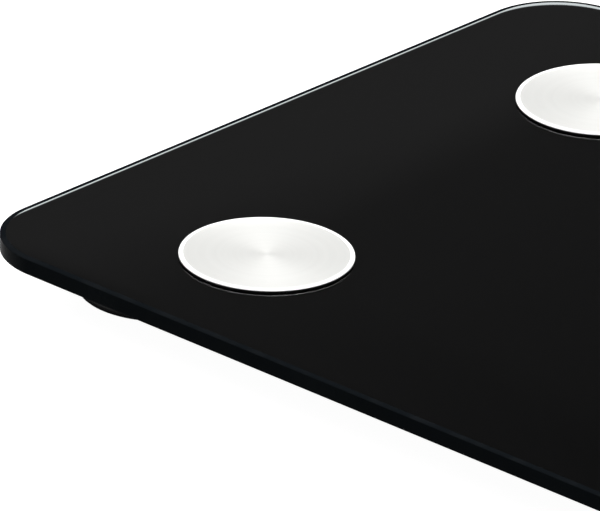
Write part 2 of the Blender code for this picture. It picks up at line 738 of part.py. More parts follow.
def tray_cavities(shop):
    """Cutters for the tray's battery bay, its side channels and its display well."""
    inner_x = HOUSING_HALF_WIDTH - HOUSING_WALL
    top = HOUSING_TOP + CUT_OVERSHOOT
    well_start = BAY_TOE_Y + BAY_PARTITION
    cavities = [
        shop.block(
            "cavity_well",
            (-inner_x, well_start, HOUSING_FLOOR_TOP),
            (inner_x, HOUSING_TOE_Y - HOUSING_WALL, top),
            corner=HOUSING_CORNER_RADIUS - HOUSING_WALL,
        ),
        shop.block(
            "cavity_bay",
            (-BAY_HALF_LENGTH, BAY_HEEL_Y, HOUSING_FLOOR_TOP),
            (BAY_HALF_LENGTH, BAY_TOE_Y, top),
        ),
    ]
    for side in (-1, 1):
        near = side * (BAY_HALF_LENGTH + BAY_PARTITION)
        far = side * inner_x
        cavities.append(
            shop.block(
                f"cavity_channel_{side}",
                (min(near, far), BAY_HEEL_Y, HOUSING_FLOOR_TOP),
                (max(near, far), well_start + HOUSING_CORNER_RADIUS, top),
                corner=HOUSING_CORNER_RADIUS - HOUSING_WALL,
            )
        )
    return cavities


def tray_door_way(shop):
    """Cutters for the door's opening and the grooves its tongues slide in."""
    lip_top = DOOR_TOP - DOOR_TONGUE_THICKNESS - FIT_GAP
    wide = DOOR_HALF_WIDTH + DOOR_TONGUE + FIT_GAP
    narrow = DOOR_HALF_WIDTH + FIT_GAP
    start = HOUSING_HEEL_Y - CUT_OVERSHOOT
    stop = DOOR_TOE_Y + FIT_GAP
    return [
        shop.block(
            "door_groove",
            (-wide, start, lip_top),
            (wide, stop, HOUSING_FLOOR_TOP + UNION_BITE / 2),
        ),
        shop.block(
            "door_opening",
            (-narrow, start, HOUSING_BOTTOM - CUT_OVERSHOOT),
            (narrow, stop, lip_top + UNION_BITE),
        ),
    ]


def tray_holes(shop):
    """Cutters for the screw seats, the button and the cable entries."""
    cutters = []
    seat_top = HOUSING_FLOOR_TOP - SCREW_SEAT_THICKNESS
    for name, centre in screw_centres().items():
        cutters.append(
            shop.turned(
                "screw_seat_" + name,
                [
                    (0.0, HOUSING_FLOOR_TOP + CUT_OVERSHOOT),
                    (SCREW_RADIUS + FIT_GAP, HOUSING_FLOOR_TOP + CUT_OVERSHOOT),
                    (SCREW_RADIUS + FIT_GAP, seat_top),
                    (SCREW_HEAD_RADIUS + FIT_GAP, seat_top),
                    (SCREW_HEAD_RADIUS + FIT_GAP, HOUSING_BOTTOM - CUT_OVERSHOOT),
                    (0.0, HOUSING_BOTTOM - CUT_OVERSHOOT),
                ],
                centre,
                steps=SMALL_TURN_STEPS,
            )
        )
    cutters.append(
        shop.rod(
            "button_hole",
            BUTTON_RADIUS + FIT_GAP,
            HOUSING_BOTTOM - CUT_OVERSHOOT,
            HOUSING_FLOOR_TOP + CUT_OVERSHOOT,
            (BUTTON_X, BUTTON_Y),
        )
    )
    for side in (-1, 1):
        for kind, radius, y in (
            ("cable", CABLE_RADIUS, TOE_CABLE_ENTRY_Y),
            ("lead", LEAD_RADIUS, TOE_LEAD_ENTRY_Y),
        ):
            entry = shop.rod(
                f"toe_{kind}_entry_{side}",
                radius + CABLE_HOLE_CLEARANCE,
                -HOUSING_WALL,
                HOUSING_WALL,
                (0.0, 0.0),
                steps=HOLE_STEPS,
            )
            entry.matrix_world = Matrix.Translation(
                Vector((side * (HOUSING_HALF_WIDTH - HOUSING_WALL / 2), y, CABLE_ENTRY_HEIGHT)) * MM
            ) @ Matrix.Rotation(math.pi / 2, 4, "Y")
            cutters.append(entry)
        for kind, radius, x in (
            ("cable", CABLE_RADIUS, HEEL_CABLE_ENTRY_X),
            ("lead", LEAD_RADIUS, HEEL_LEAD_ENTRY_X),
        ):
            entry = shop.rod(
                f"heel_{kind}_entry_{side}",
                radius + CABLE_HOLE_CLEARANCE,
                -HOUSING_WALL,
                HOUSING_WALL,
                (0.0, 0.0),
                steps=HOLE_STEPS,
            )
            entry.matrix_world = Matrix.Translation(
                Vector((side * x, HOUSING_HEEL_Y + HOUSING_WALL / 2, CABLE_ENTRY_HEIGHT)) * MM
            ) @ Matrix.Rotation(math.pi / 2, 4, "X")
            cutters.append(entry)
    return cutters


def build_tray(shop):
    """The housing's lower shell with the battery bay, its door way and the board posts."""
    tray = shop.block(
        "housing_tray",
        (-HOUSING_HALF_WIDTH, HOUSING_HEEL_Y, HOUSING_BOTTOM),
        (HOUSING_HALF_WIDTH, HOUSING_TOE_Y, HOUSING_TOP),
        "black_plastic",
        corner=HOUSING_CORNER_RADIUS,
        corner_steps=HOUSING_CORNER_STEPS,
    )
    combine(tray, tray_cavities(shop), "DIFFERENCE")
    posts = []
    for x in (-BOARD_POST_X, BOARD_POST_X):
        for y in (BOARD_HEEL_Y + BOARD_POST_INSET, BOARD_TOE_Y - BOARD_POST_INSET):
            posts.append(
                shop.rod(
                    f"board_post_{x:.0f}_{y:.0f}",
                    BOARD_POST_RADIUS,
                    HOUSING_FLOOR_TOP - UNION_BITE,
                    BOARD_BOTTOM - FIT_GAP,
                    (x, y),
                    steps=HOLE_STEPS,
                )
            )
    combine(tray, posts, "UNION")
    combine(tray, tray_door_way(shop) + tray_holes(shop), "DIFFERENCE")


def build_door(shop):
    """The battery door: a plate with side tongues and finger grooves, sliding out towards the heel side."""
    tongue_bottom = DOOR_TOP - DOOR_TONGUE_THICKNESS
    door = shop.block(
        "battery_door",
        (-DOOR_HALF_WIDTH, HOUSING_HEEL_Y, HOUSING_BOTTOM),
        (DOOR_HALF_WIDTH, DOOR_TOE_Y, tongue_bottom + UNION_BITE),
        "black_plastic",
    )
    tongues = shop.block(
        "door_tongues",
        (-DOOR_HALF_WIDTH - DOOR_TONGUE, HOUSING_HEEL_Y, tongue_bottom),
        (DOOR_HALF_WIDTH + DOOR_TONGUE, DOOR_TOE_Y, DOOR_TOP),
    )
    grips = []
    for row in range(DOOR_GRIP_COUNT):
        y = HOUSING_HEEL_Y + DOOR_GRIP_START + DOOR_GRIP_PITCH * row
        grips.append(
            shop.block(
                f"door_grip_{row}",
                (-DOOR_GRIP_LENGTH / 2, y - DOOR_GRIP_WIDTH / 2, HOUSING_BOTTOM - CUT_OVERSHOOT),
                (DOOR_GRIP_LENGTH / 2, y + DOOR_GRIP_WIDTH / 2, HOUSING_BOTTOM + DOOR_GRIP_DEPTH),
            )
        )
    combine(door, [tongues], "UNION")
    combine(door, grips, "DIFFERENCE")


def battery_row_y(row):
    """The y of a battery row: row 0 is nearer the heel side."""
    middle = (BAY_HEEL_Y + BAY_TOE_Y) / 2
    return middle + (row - 0.5) * BATTERY_ROW_PITCH


def build_batteries(shop):
    """Four AAA cells in two rows that point opposite ways."""
    half = BATTERY_LENGTH / 2
    shoulder = half - BATTERY_NUB_LENGTH
    profile = [
        (0.0, half),
        (BATTERY_NUB_RADIUS, half),
        (BATTERY_NUB_RADIUS, shoulder),
        (BATTERY_RADIUS - BATTERY_EDGE, shoulder),
        (BATTERY_RADIUS, shoulder - BATTERY_EDGE),
        (BATTERY_RADIUS, BATTERY_EDGE - half),
        (BATTERY_RADIUS - BATTERY_EDGE, -half),
        (0.0, -half),
    ]
    nub_face = BAY_HALF_LENGTH - FIT_GAP - CONTACT_THICKNESS - FIT_GAP
    for row, towards in ((0, -1), (1, 1)):
        for place in (0, 1):
            x = towards * (nub_face - half - place * (BATTERY_LENGTH + FIT_GAP))
            cell = shop.turned(
                f"battery_cell_{row + 1}_{place + 1}", profile, (0.0, 0.0), "battery_jacket", SMALL_TURN_STEPS
            )
            cell.matrix_world = Matrix.Translation(
                Vector((x, battery_row_y(row), BATTERY_AXIS_HEIGHT)) * MM
            ) @ Matrix.Rotation(towards * math.pi / 2, 4, "Y")
            smooth(cell)


def build_contacts(shop):
    """The bay's end plates and the two coil springs."""
    outer = BAY_HALF_LENGTH - FIT_GAP
    inner = outer - CONTACT_THICKNESS
    low = BATTERY_AXIS_HEIGHT - CONTACT_HEIGHT / 2
    high = BATTERY_AXIS_HEIGHT + CONTACT_HEIGHT / 2
    half = CONTACT_WIDTH / 2
    for label, row in (("positive", 0), ("negative", 1)):
        y = battery_row_y(row)
        shop.block(
            "battery_contact_" + label, (-outer, y - half, low), (-inner, y + half, high), "plated_steel"
        )
    shop.block(
        "battery_contact_link",
        (inner, battery_row_y(0) - half, low),
        (outer, battery_row_y(1) + half, high),
        "plated_steel",
    )
    nub_face = inner - FIT_GAP
    wire_out = nub_face - SPRING_WIRE_RADIUS
    cell_end = nub_face - BATTERY_LENGTH * 2 - FIT_GAP
    wire_in = -cell_end + FIT_GAP + SPRING_WIRE_RADIUS
    count = int(SPRING_TURNS * SPRING_STEPS_PER_TURN)
    for row, side in ((0, 1), (1, -1)):
        coil = []
        for step in range(count + 1):
            part = step / count
            turn = 2 * math.pi * SPRING_TURNS * part
            radius = SPRING_RADIUS + (SPRING_TIP_RADIUS - SPRING_RADIUS) * part
            coil.append(
                (
                    side * (wire_out + (wire_in - wire_out) * part),
                    battery_row_y(row) + radius * math.cos(turn),
                    BATTERY_AXIS_HEIGHT + radius * math.sin(turn),
                )
            )
        smooth(shop.wire(f"battery_spring_{row + 1}", coil, SPRING_WIRE_RADIUS, "plated_steel"))


def build_board(shop):
    """The circuit board and the controller under its potting."""
    shop.block(
        "circuit_board",
        (-BOARD_HALF_WIDTH, BOARD_HEEL_Y, BOARD_BOTTOM),
        (BOARD_HALF_WIDTH, BOARD_TOE_Y, BOARD_TOP),
        "board_green",
    )
    half = CONTROLLER_SIZE / 2
    shop.block(
        "controller_chip",
        (CONTROLLER_X - half, CONTROLLER_Y - half, BOARD_TOP + FIT_GAP),
        (CONTROLLER_X + half, CONTROLLER_Y + half, BOARD_TOP + FIT_GAP + CONTROLLER_THICKNESS),
        "black_plastic",
        edge=CONTROLLER_EDGE,
    )


def build_display(shop):
    """The display panel under the glass and the white holder it stands on."""
    half_width, half_depth = DISPLAY_WIDTH / 2, DISPLAY_DEPTH / 2
    shop.block(
        "display_panel",
        (-half_width, DISPLAY_Y - half_depth, DISPLAY_BOTTOM),
        (half_width, DISPLAY_Y + half_depth, DISPLAY_TOP),
        "display_grey",
    )
    shop.block(
        "display_holder",
        (-half_width - HOLDER_MARGIN, DISPLAY_Y - half_depth - HOLDER_MARGIN, BOARD_TOP + FIT_GAP),
        (half_width + HOLDER_MARGIN, DISPLAY_Y + half_depth + HOLDER_MARGIN, DISPLAY_BOTTOM - FIT_GAP),
        "white_plastic",
        edge=HOLDER_EDGE,
    )


def build_cover(shop):
    """The housing's upper plate with the display window and four screw posts."""
    inner_x = HOUSING_HALF_WIDTH - HOUSING_WALL - FIT_GAP
    toe_y = HOUSING_TOE_Y - HOUSING_WALL - FIT_GAP
    cover = shop.block(
        "housing_cover",
        (-inner_x, COVER_HEEL_Y, COVER_BOTTOM),
        (inner_x, toe_y, HOUSING_TOP),
        "black_plastic",
        corner=COVER_CORNER_RADIUS,
    )
    half_width = DISPLAY_WIDTH / 2 + COVER_WINDOW_MARGIN
    half_depth = DISPLAY_DEPTH / 2 + COVER_WINDOW_MARGIN
    window = shop.block(
        "cover_window",
        (-half_width, DISPLAY_Y - half_depth, COVER_BOTTOM - CUT_OVERSHOOT),
        (half_width, DISPLAY_Y + half_depth, HOUSING_TOP + CUT_OVERSHOOT),
    )
    posts = []
    bores = []
    for name, centre in screw_centres().items():
        posts.append(
            shop.rod(
                "cover_post_" + name, COVER_POST_RADIUS, COVER_POST_BOTTOM, COVER_BOTTOM + UNION_BITE, centre
            )
        )
        bores.append(
            shop.rod(
                "cover_bore_" + name,
                SCREW_RADIUS + SHANK_CLEARANCE,
                COVER_POST_BOTTOM - CUT_OVERSHOOT,
                SCREW_TOP + FIT_GAP,
                centre,
            )
        )
    combine(cover, posts, "UNION")
    combine(cover, bores + [window], "DIFFERENCE")


def build_screws(shop):
    """The four cross-head screws that hold the cover to the tray."""
    head_top = SCREW_HEAD_BOTTOM + SCREW_HEAD_HEIGHT
    profile = [
        (0.0, SCREW_TOP),
        (SCREW_TIP_RADIUS, SCREW_TOP),
        (SCREW_RADIUS, SCREW_TOP - SCREW_RADIUS),
        (SCREW_RADIUS, head_top),
        (SCREW_HEAD_RADIUS, head_top),
        (SCREW_HEAD_RADIUS, SCREW_HEAD_BOTTOM + SCREW_HEAD_CHAMFER_HEIGHT),
        (SCREW_HEAD_RADIUS - SCREW_HEAD_CHAMFER_WIDTH, SCREW_HEAD_BOTTOM),
        (0.0, SCREW_HEAD_BOTTOM),
    ]
    for name, (x, y) in screw_centres().items():
        screw = shop.turned("housing_screw_" + name, profile, (x, y), "plated_steel", SMALL_TURN_STEPS)
        smooth(screw)
        recesses = []
        for label, half_x, half_y in (
            ("along", SCREW_RECESS_LENGTH / 2, SCREW_RECESS_WIDTH / 2),
            ("across", SCREW_RECESS_WIDTH / 2, SCREW_RECESS_LENGTH / 2),
        ):
            recesses.append(
                shop.block(
                    f"screw_recess_{name}_{label}",
                    (x - half_x, y - half_y, SCREW_HEAD_BOTTOM - CUT_OVERSHOOT),
                    (x + half_x, y + half_y, SCREW_HEAD_BOTTOM + SCREW_RECESS_DEPTH),
                )
            )
        combine(screw, recesses, "DIFFERENCE")


def build_button(shop):
    """The unit button in the tray's floor and the switch it presses."""
    flange_bottom = HOUSING_FLOOR_TOP + FIT_GAP
    flange_top = flange_bottom + BUTTON_FLANGE_THICKNESS
    profile = [
        (0.0, BUTTON_STEM_TOP),
        (BUTTON_STEM_RADIUS, BUTTON_STEM_TOP),
        (BUTTON_STEM_RADIUS, flange_top),
        (BUTTON_FLANGE_RADIUS, flange_top),
        (BUTTON_FLANGE_RADIUS, flange_bottom),
        (BUTTON_RADIUS, flange_bottom),
        (BUTTON_RADIUS, BUTTON_BOTTOM + BUTTON_EDGE),
        (BUTTON_RADIUS - BUTTON_EDGE, BUTTON_BOTTOM),
        (0.0, BUTTON_BOTTOM),
    ]
    smooth(shop.turned("unit_button", profile, (BUTTON_X, BUTTON_Y), "white_plastic", SMALL_TURN_STEPS))
    half = SWITCH_SIZE / 2
    shop.block(
        "unit_switch",
        (BUTTON_X - half, BUTTON_Y - half, SWITCH_BOTTOM),
        (BUTTON_X + half, BUTTON_Y + half, BOARD_BOTTOM - FIT_GAP),
        "plated_steel",
    )


def main():
    """Build every piece in the row frame."""
    clear_scene()
    shop = Shop()
    build_glass(shop)
    for name, (side, end) in CORNERS.items():
        build_electrode(shop, name, side, end)
        build_stud(shop, name, side, end)
        build_terminal(shop, name, side, end)
        build_lead(shop, name, side, end)
        build_bracket(shop, name, side, end)
        build_cell(shop, name, side, end)
        build_cup(shop, name, side, end)
        build_pad(shop, name, side, end)
        build_cell_cable(shop, name, side, end)
    build_tray(shop)
    build_cover(shop)
    build_screws(shop)
    build_door(shop)
    build_batteries(shop)
    build_contacts(shop)
    build_board(shop)
    build_display(shop)
    build_button(shop)
    bpy.context.view_layer.update()


if __name__ == "__main__":
    main()
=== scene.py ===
"""Looks of a glass body-analysis bathroom scale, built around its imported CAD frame."""

import logging
import math
from dataclasses import dataclass, field
from enum import Enum

import bmesh
import bpy
from mathutils import Matrix, Vector

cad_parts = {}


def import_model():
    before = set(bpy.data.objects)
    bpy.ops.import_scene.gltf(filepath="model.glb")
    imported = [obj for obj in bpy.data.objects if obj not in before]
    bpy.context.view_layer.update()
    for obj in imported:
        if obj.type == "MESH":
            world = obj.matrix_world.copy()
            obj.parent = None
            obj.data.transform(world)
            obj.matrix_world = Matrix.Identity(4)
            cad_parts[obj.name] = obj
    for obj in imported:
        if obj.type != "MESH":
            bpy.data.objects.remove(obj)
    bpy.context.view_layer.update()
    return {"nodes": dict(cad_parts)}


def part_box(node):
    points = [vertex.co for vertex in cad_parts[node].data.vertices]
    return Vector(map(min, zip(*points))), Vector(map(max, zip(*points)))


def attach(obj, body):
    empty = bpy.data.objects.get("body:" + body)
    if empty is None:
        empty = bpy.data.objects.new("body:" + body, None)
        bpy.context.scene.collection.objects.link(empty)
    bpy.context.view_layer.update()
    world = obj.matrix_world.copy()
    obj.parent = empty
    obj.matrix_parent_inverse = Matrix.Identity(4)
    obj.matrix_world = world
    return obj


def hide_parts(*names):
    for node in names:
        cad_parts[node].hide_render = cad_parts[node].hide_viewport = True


LOG = logging.getLogger("scale")
Point = tuple[float, float, float]
Colour = tuple[float, float, float]
Place = tuple[float, float]
Level = tuple[float, float]
Profile = list[Place]

CRISP_ANGLE = 30.0
SHARP_EDGE_ANGLE = 35.0
UPRIGHT_NORMAL = 0.3
WALL_SHARE = 0.995
RIM_HEIGHT = 0.00001
RIM_REACH = 0.009
RIM_OUTWARD = 0.02


class Corner(Enum):
    """The four corners of the scale, as (side, end) signs."""

    HEEL_LEFT = (-1, -1)
    HEEL_RIGHT = (1, -1)
    TOE_LEFT = (-1, 1)
    TOE_RIGHT = (1, 1)

    @property
    def label(self) -> str:
        """The corner's name as the CAD nodes write it."""
        return self.name.lower()


class Grain(Enum):
    """How a moulded surface is textured: grains per metre and depth in metres."""

    FINE = (2600.0, 0.00003)
    COARSE = (1300.0, 0.00006)
    SATIN = (4200.0, 0.000012)


# ---------------------------------------------------------------- shader helpers


class Graph:
    """A short way to write a node tree."""

    def __init__(self, tree: bpy.types.NodeTree) -> None:
        """Keep the tree.

        Args:
            tree: the node tree to write in.
        """
        self.tree = tree

    def node(self, kind: str, **settings: object) -> bpy.types.Node:
        """Add a node.

        Args:
            kind: the node's type name.
            settings: attributes to set on it.

        Returns:
            The new node.
        """
        made = self.tree.nodes.new(kind)
        for name, value in settings.items():
            setattr(made, name, value)
        return made

    def put(self, target: bpy.types.NodeSocket, value: object) -> None:
        """Link a socket to an output, or set it to a value.

        Args:
            target: the input socket.
            value: an output to link, a plain value, or None to leave the socket alone.
        """
        if isinstance(value, bpy.types.NodeSocket):
            self.tree.links.new(value, target)
        elif value is not None:
            target.default_value = value

    def math(self, operation: str, a: object, b: object = None) -> bpy.types.NodeSocket:
        """A Math node.

        Args:
            operation: the sum to do.
            a: the first value or output.
            b: the second value or output.

        Returns:
            The result socket.
        """
        made = self.node("ShaderNodeMath", operation=operation)
        self.put(made.inputs[0], a)
        self.put(made.inputs[1], b)
        return made.outputs[0]

    def mix(self, share: object, a: object, b: object) -> bpy.types.NodeSocket:
        """A colour mix.

        Args:
            share: how much of b, from 0 to 1.
            a: the first colour.
            b: the second colour.

        Returns:
            The mixed colour.
        """
        made = self.node("ShaderNodeMix", data_type="RGBA")
        self.put(made.inputs[0], share)
        self.put(made.inputs[6], (*a, 1.0) if isinstance(a, tuple) else a)
        self.put(made.inputs[7], (*b, 1.0) if isinstance(b, tuple) else b)
        return made.outputs[2]

    def span(
        self, value: object, low: float, high: float, to_low: float = 0.0, to_high: float = 1.0
    ) -> bpy.types.NodeSocket:
        """A clamped Map Range.

        Args:
            value: what to map.
            low: the value that becomes to_low.
            high: the value that becomes to_high.
            to_low: the result at low.
            to_high: the result at high.

        Returns:
            The mapped value's socket.
        """
        made = self.node("ShaderNodeMapRange")
        self.put(made.inputs["Value"], value)
        ends = {"From Min": low, "From Max": high, "To Min": to_low, "To Max": to_high}
        for name, number in ends.items():
            made.inputs[name].default_value = number
        return made.outputs["Result"]

    def noise(
        self, vector: object, scale: object, detail: float = 2.0, rough: float = 0.5
    ) -> bpy.types.NodeSocket:
        """A noise pattern.

        Args:
            vector: where to read it.
            scale: how fine it is.
            detail: its number of octaves.
            rough: how strong the finer octaves are.

        Returns:
            The pattern's value from 0 to 1.
        """
        made = self.node("ShaderNodeTexNoise")
        self.put(made.inputs["Vector"], vector)
        self.put(made.inputs["Scale"], scale)
        made.inputs["Detail"].default_value = detail
        made.inputs["Roughness"].default_value = rough
        return made.outputs["Fac"]

    def spot(self) -> bpy.types.NodeSocket:
        """The surface point in the piece's own metres."""
        return self.node("ShaderNodeTexCoord").outputs["Object"]

    def axes(self, vector: object) -> bpy.types.bpy_prop_collection:
        """The three coordinates of a vector.

        Args:
            vector: the vector's output.

        Returns:
            The outputs for x, y and z.
        """
        parts = self.node("ShaderNodeSeparateXYZ")
        self.put(parts.inputs[0], vector)
        return parts.outputs

    def radius(self, vector: object) -> bpy.types.NodeSocket:
        """The distance of a point from the piece's upright axis.

        Args:
            vector: the point's output.

        Returns:
            The distance.
        """
        x, y, _ = self.axes(vector)
        return self.math("SQRT", self.math("ADD", self.math("POWER", x, 2.0), self.math("POWER", y, 2.0)))

    def ramp(self, share: object, stops: Profile) -> bpy.types.NodeSocket:
        """A grey ramp.

        Args:
            share: where to read it, from 0 to 1.
            stops: its (place, grey) stops in order.

        Returns:
            The ramp's colour.
        """
        made = self.node("ShaderNodeValToRGB")
        self.put(made.inputs[0], share)
        elements = made.color_ramp.elements
        elements[0].position = stops[0][0]
        elements[1].position = stops[-1][0]
        for place, _ in stops[1:-1]:
            elements.new(place)
        for element, (_, grey) in zip(elements, stops):
            element.color = (grey, grey, grey, 1.0)
        return made.outputs[0]


def shader_group(
    name: str, inputs: dict[str, float], outputs: dict[str, str]
) -> tuple[bpy.types.NodeTree, Graph, dict[str, bpy.types.Node]]:
    """Start a shader node group with named sockets.

    Args:
        name: the group's name.
        inputs: float inputs and their default values.
        outputs: outputs and their socket types.

    Returns:
        The group, a graph to write in it, and its input and output nodes.
    """
    tree = bpy.data.node_groups.new(name, "ShaderNodeTree")
    tree.interface.new_socket("Vector", in_out="INPUT", socket_type="NodeSocketVector")
    for label, value in inputs.items():
        socket = tree.interface.new_socket(label, in_out="INPUT", socket_type="NodeSocketFloat")
        socket.default_value = value
    for label, kind in outputs.items():
        tree.interface.new_socket(label, in_out="OUTPUT", socket_type=kind)
    graph = Graph(tree)
    ends = {"in": graph.node("NodeGroupInput"), "out": graph.node("NodeGroupOutput")}
    return tree, graph, ends


class SharedEffects:
    """The shader groups that more than one finish uses, each built once."""

    def __init__(self) -> None:
        """Build the groups."""
        self.grain = self.build_grain()
        self.wear = self.build_wear()
        self.rings = self.build_rings()
        self.dust = self.build_dust()

    @staticmethod
    def build_grain() -> bpy.types.NodeTree:
        """A leathery moulded grain: Height from 0 to 1 and a slow Tone.

        Returns:
            The group.
        """
        tree, graph, ends = shader_group(
            "moulded_grain", {"Scale": 2600.0}, {"Height": "NodeSocketFloat", "Tone": "NodeSocketFloat"}
        )
        source = ends["in"].outputs
        cells = graph.node("ShaderNodeTexVoronoi", feature="SMOOTH_F1")
        graph.put(cells.inputs["Vector"], source["Vector"])
        graph.put(cells.inputs["Scale"], source["Scale"])
        fine = graph.noise(source["Vector"], graph.math("MULTIPLY", source["Scale"], 2.3))
        coarse = graph.math("MULTIPLY", cells.outputs["Distance"], 0.7)
        height = graph.math("ADD", coarse, graph.math("MULTIPLY", fine, 0.5))
        graph.put(ends["out"].inputs["Height"], height)
        graph.put(ends["out"].inputs["Tone"], graph.noise(source["Vector"], 45.0, 3.0))
        return tree

    @staticmethod
    def build_wear() -> bpy.types.NodeTree:
        """Fine scratches and rubbed patches: a Scratch mask and a Rub mask.

        Returns:
            The group.
        """
        tree, graph, ends = shader_group(
            "handling_wear", {"Scale": 90.0}, {"Scratch": "NodeSocketFloat", "Rub": "NodeSocketFloat"}
        )
        source = ends["in"].outputs
        stretch = graph.node("ShaderNodeMapping")
        graph.put(stretch.inputs["Vector"], source["Vector"])
        stretch.inputs["Rotation"].default_value = (0.2, 0.1, 0.7)
        stretch.inputs["Scale"].default_value = (1.0, 22.0, 6.0)
        lines = graph.noise(stretch.outputs[0], graph.math("MULTIPLY", source["Scale"], 1.4), 1.0)
        graph.put(ends["out"].inputs["Scratch"], graph.span(lines, 0.66, 0.74))
        patches = graph.noise(source["Vector"], graph.math("MULTIPLY", source["Scale"], 0.35), 4.0, 0.6)
        graph.put(ends["out"].inputs["Rub"], graph.span(patches, 0.45, 0.75))
        return tree

    @staticmethod
    def build_rings() -> bpy.types.NodeTree:
        """Turning marks about the piece's upright axis: a Height and a ring-by-ring Tone.

        Returns:
            The group.
        """
        tree, graph, ends = shader_group(
            "turning_rings", {"Pitch": 0.0006}, {"Height": "NodeSocketFloat", "Tone": "NodeSocketFloat"}
        )
        source = ends["in"].outputs
        radius = graph.radius(source["Vector"])
        line = graph.node("ShaderNodeCombineXYZ")
        graph.put(line.inputs[0], graph.math("DIVIDE", radius, source["Pitch"]))
        height = graph.noise(line.outputs[0], 1.0, 3.0, 0.7)
        slow = graph.noise(line.outputs[0], 0.16, 2.0, 0.5)
        graph.put(ends["out"].inputs["Height"], height)
        graph.put(ends["out"].inputs["Tone"], slow)
        return tree

    @staticmethod
    def build_dust() -> bpy.types.NodeTree:
        """A faint film of dust and finger marks: a Mask.

        Returns:
            The group.
        """
        tree, graph, ends = shader_group("dust_film", {"Scale": 60.0}, {"Mask": "NodeSocketFloat"})
        source = ends["in"].outputs
        broad = graph.noise(source["Vector"], graph.math("MULTIPLY", source["Scale"], 0.2), 3.0, 0.6)
        specks = graph.noise(source["Vector"], graph.math("MULTIPLY", source["Scale"], 18.0), 1.0)
        mask = graph.math("MULTIPLY", graph.span(broad, 0.4, 0.7), graph.span(specks, 0.55, 0.8, 0.35, 1.0))
        graph.put(ends["out"].inputs["Mask"], mask)
        return tree


def place_group(graph: Graph, tree: bpy.types.NodeTree, **values: object) -> dict[str, bpy.types.NodeSocket]:
    """Place a shared group in a material.

    Args:
        graph: the material's graph.
        tree: the group.
        values: its inputs by name.

    Returns:
        Its outputs by name.
    """
    made = graph.node("ShaderNodeGroup", node_tree=tree)
    for name, value in values.items():
        graph.put(made.inputs[name], value)
    return {socket.name: socket for socket in made.outputs}


def start_material(name: str, **plain: object) -> tuple[bpy.types.Material, Graph, bpy.types.Node]:
    """Make a material with one Principled shader.

    Args:
        name: the material's name.
        plain: values set straight on the shader's sockets, spaces written as underscores.

    Returns:
        The material, a graph for its nodes and its shader.
    """
    material = bpy.data.materials.new(name)
    material.use_nodes = True
    shader = material.node_tree.nodes["Principled BSDF"]
    for label, value in plain.items():
        socket = shader.inputs[label.replace("_", " ")]
        socket.default_value = (*value, 1.0) if isinstance(value, tuple) and len(value) == 3 else value
    return material, Graph(material.node_tree), shader


def add_bump(
    graph: Graph, shader: bpy.types.Node, height: object, distance: float, strength: float = 1.0
) -> None:
    """Feed a height into the shader's normal.

    Args:
        graph: the material's graph.
        shader: its Principled shader.
        height: the height output, from 0 to 1.
        distance: the height's depth in metres.
        strength: how much of it shows.
    """
    bump = graph.node("ShaderNodeBump")
    bump.inputs["Strength"].default_value = strength
    bump.inputs["Distance"].default_value = distance
    graph.put(bump.inputs["Height"], height)
    graph.put(shader.inputs["Normal"], bump.outputs[0])


# ---------------------------------------------------------------- finishes


@dataclass(frozen=True)
class ClearGlass:
    """Polished float glass with a faint film of handling."""

    ior: float = 1.5
    tint: Colour = (0.93, 0.97, 0.96)
    film_roughness: float = 0.02

    def build(self, effects: SharedEffects) -> bpy.types.Material:
        """Make the material.

        Args:
            effects: the shared shader groups.

        Returns:
            The glass.
        """
        material, graph, shader = start_material(
            "polished_glass", Base_Color=self.tint, Metallic=0.0, Transmission_Weight=1.0, IOR=self.ior
        )
        film = place_group(graph, effects.dust, Vector=graph.spot(), Scale=40.0)["Mask"]
        graph.put(shader.inputs["Roughness"], graph.span(film, 0.0, 1.0, 0.0, self.film_roughness))
        return material


@dataclass(frozen=True)
class GroundEdge:
    """The ground side of the glass: near black from outside, with a painted highlight (an emitted pale band)
    on its inner face where it is seen through the top.
    """

    outside: Colour = (0.0012, 0.0022, 0.0030)
    rubbed: Colour = (0.0022, 0.0034, 0.0042)
    roughness: tuple[float, float] = (0.22, 0.32)
    # Painted highlight: the emitted colours of the pale band on the edge's inner face, and the heights where
    # it rises and falls.
    glow: Colour = (0.80, 0.83, 0.84)
    dim_painted_highlight: Colour = (0.62, 0.68, 0.70)
    painted_highlight_rise: tuple[float, float] = (0.0172, 0.0181)
    painted_highlight_fall: tuple[float, float] = (0.0205, 0.0212)

    def build(self, effects: SharedEffects) -> bpy.types.Material:
        """Make the material.

        Args:
            effects: the shared shader groups.

        Returns:
            The ground edge.
        """
        material, graph, shader = start_material(
            "ground_glass_edge", Metallic=0.0, Specular_IOR_Level=0.02, Emission_Strength=1.0
        )
        spot = graph.spot()
        wear = place_group(graph, effects.wear, Vector=spot, Scale=160.0)
        graph.put(shader.inputs["Base Color"], graph.mix(wear["Rub"], self.outside, self.rubbed))
        graph.put(shader.inputs["Roughness"], graph.span(wear["Rub"], 0.0, 1.0, *self.roughness))
        # Painted highlight: a pale emitted band at mid height on the inner face of the edge, dimmed in noise
        # streaks, for the bright line seen through the top.
        inside = graph.node("ShaderNodeNewGeometry").outputs["Backfacing"]
        height = graph.axes(spot)[2]
        rise = graph.span(height, *self.painted_highlight_rise)
        fall = graph.span(height, *self.painted_highlight_fall, 1.0, 0.0)
        band = graph.math("MULTIPLY", inside, graph.math("MULTIPLY", rise, fall))
        highlight_streak = graph.noise(spot, 30.0, 2.0)
        bright = graph.mix(graph.span(highlight_streak, 0.3, 0.7, 0.0, 0.5), self.glow, self.dim_painted_highlight)
        graph.put(shader.inputs["Emission Color"], graph.mix(band, (0.0, 0.0, 0.0), bright))
        return material


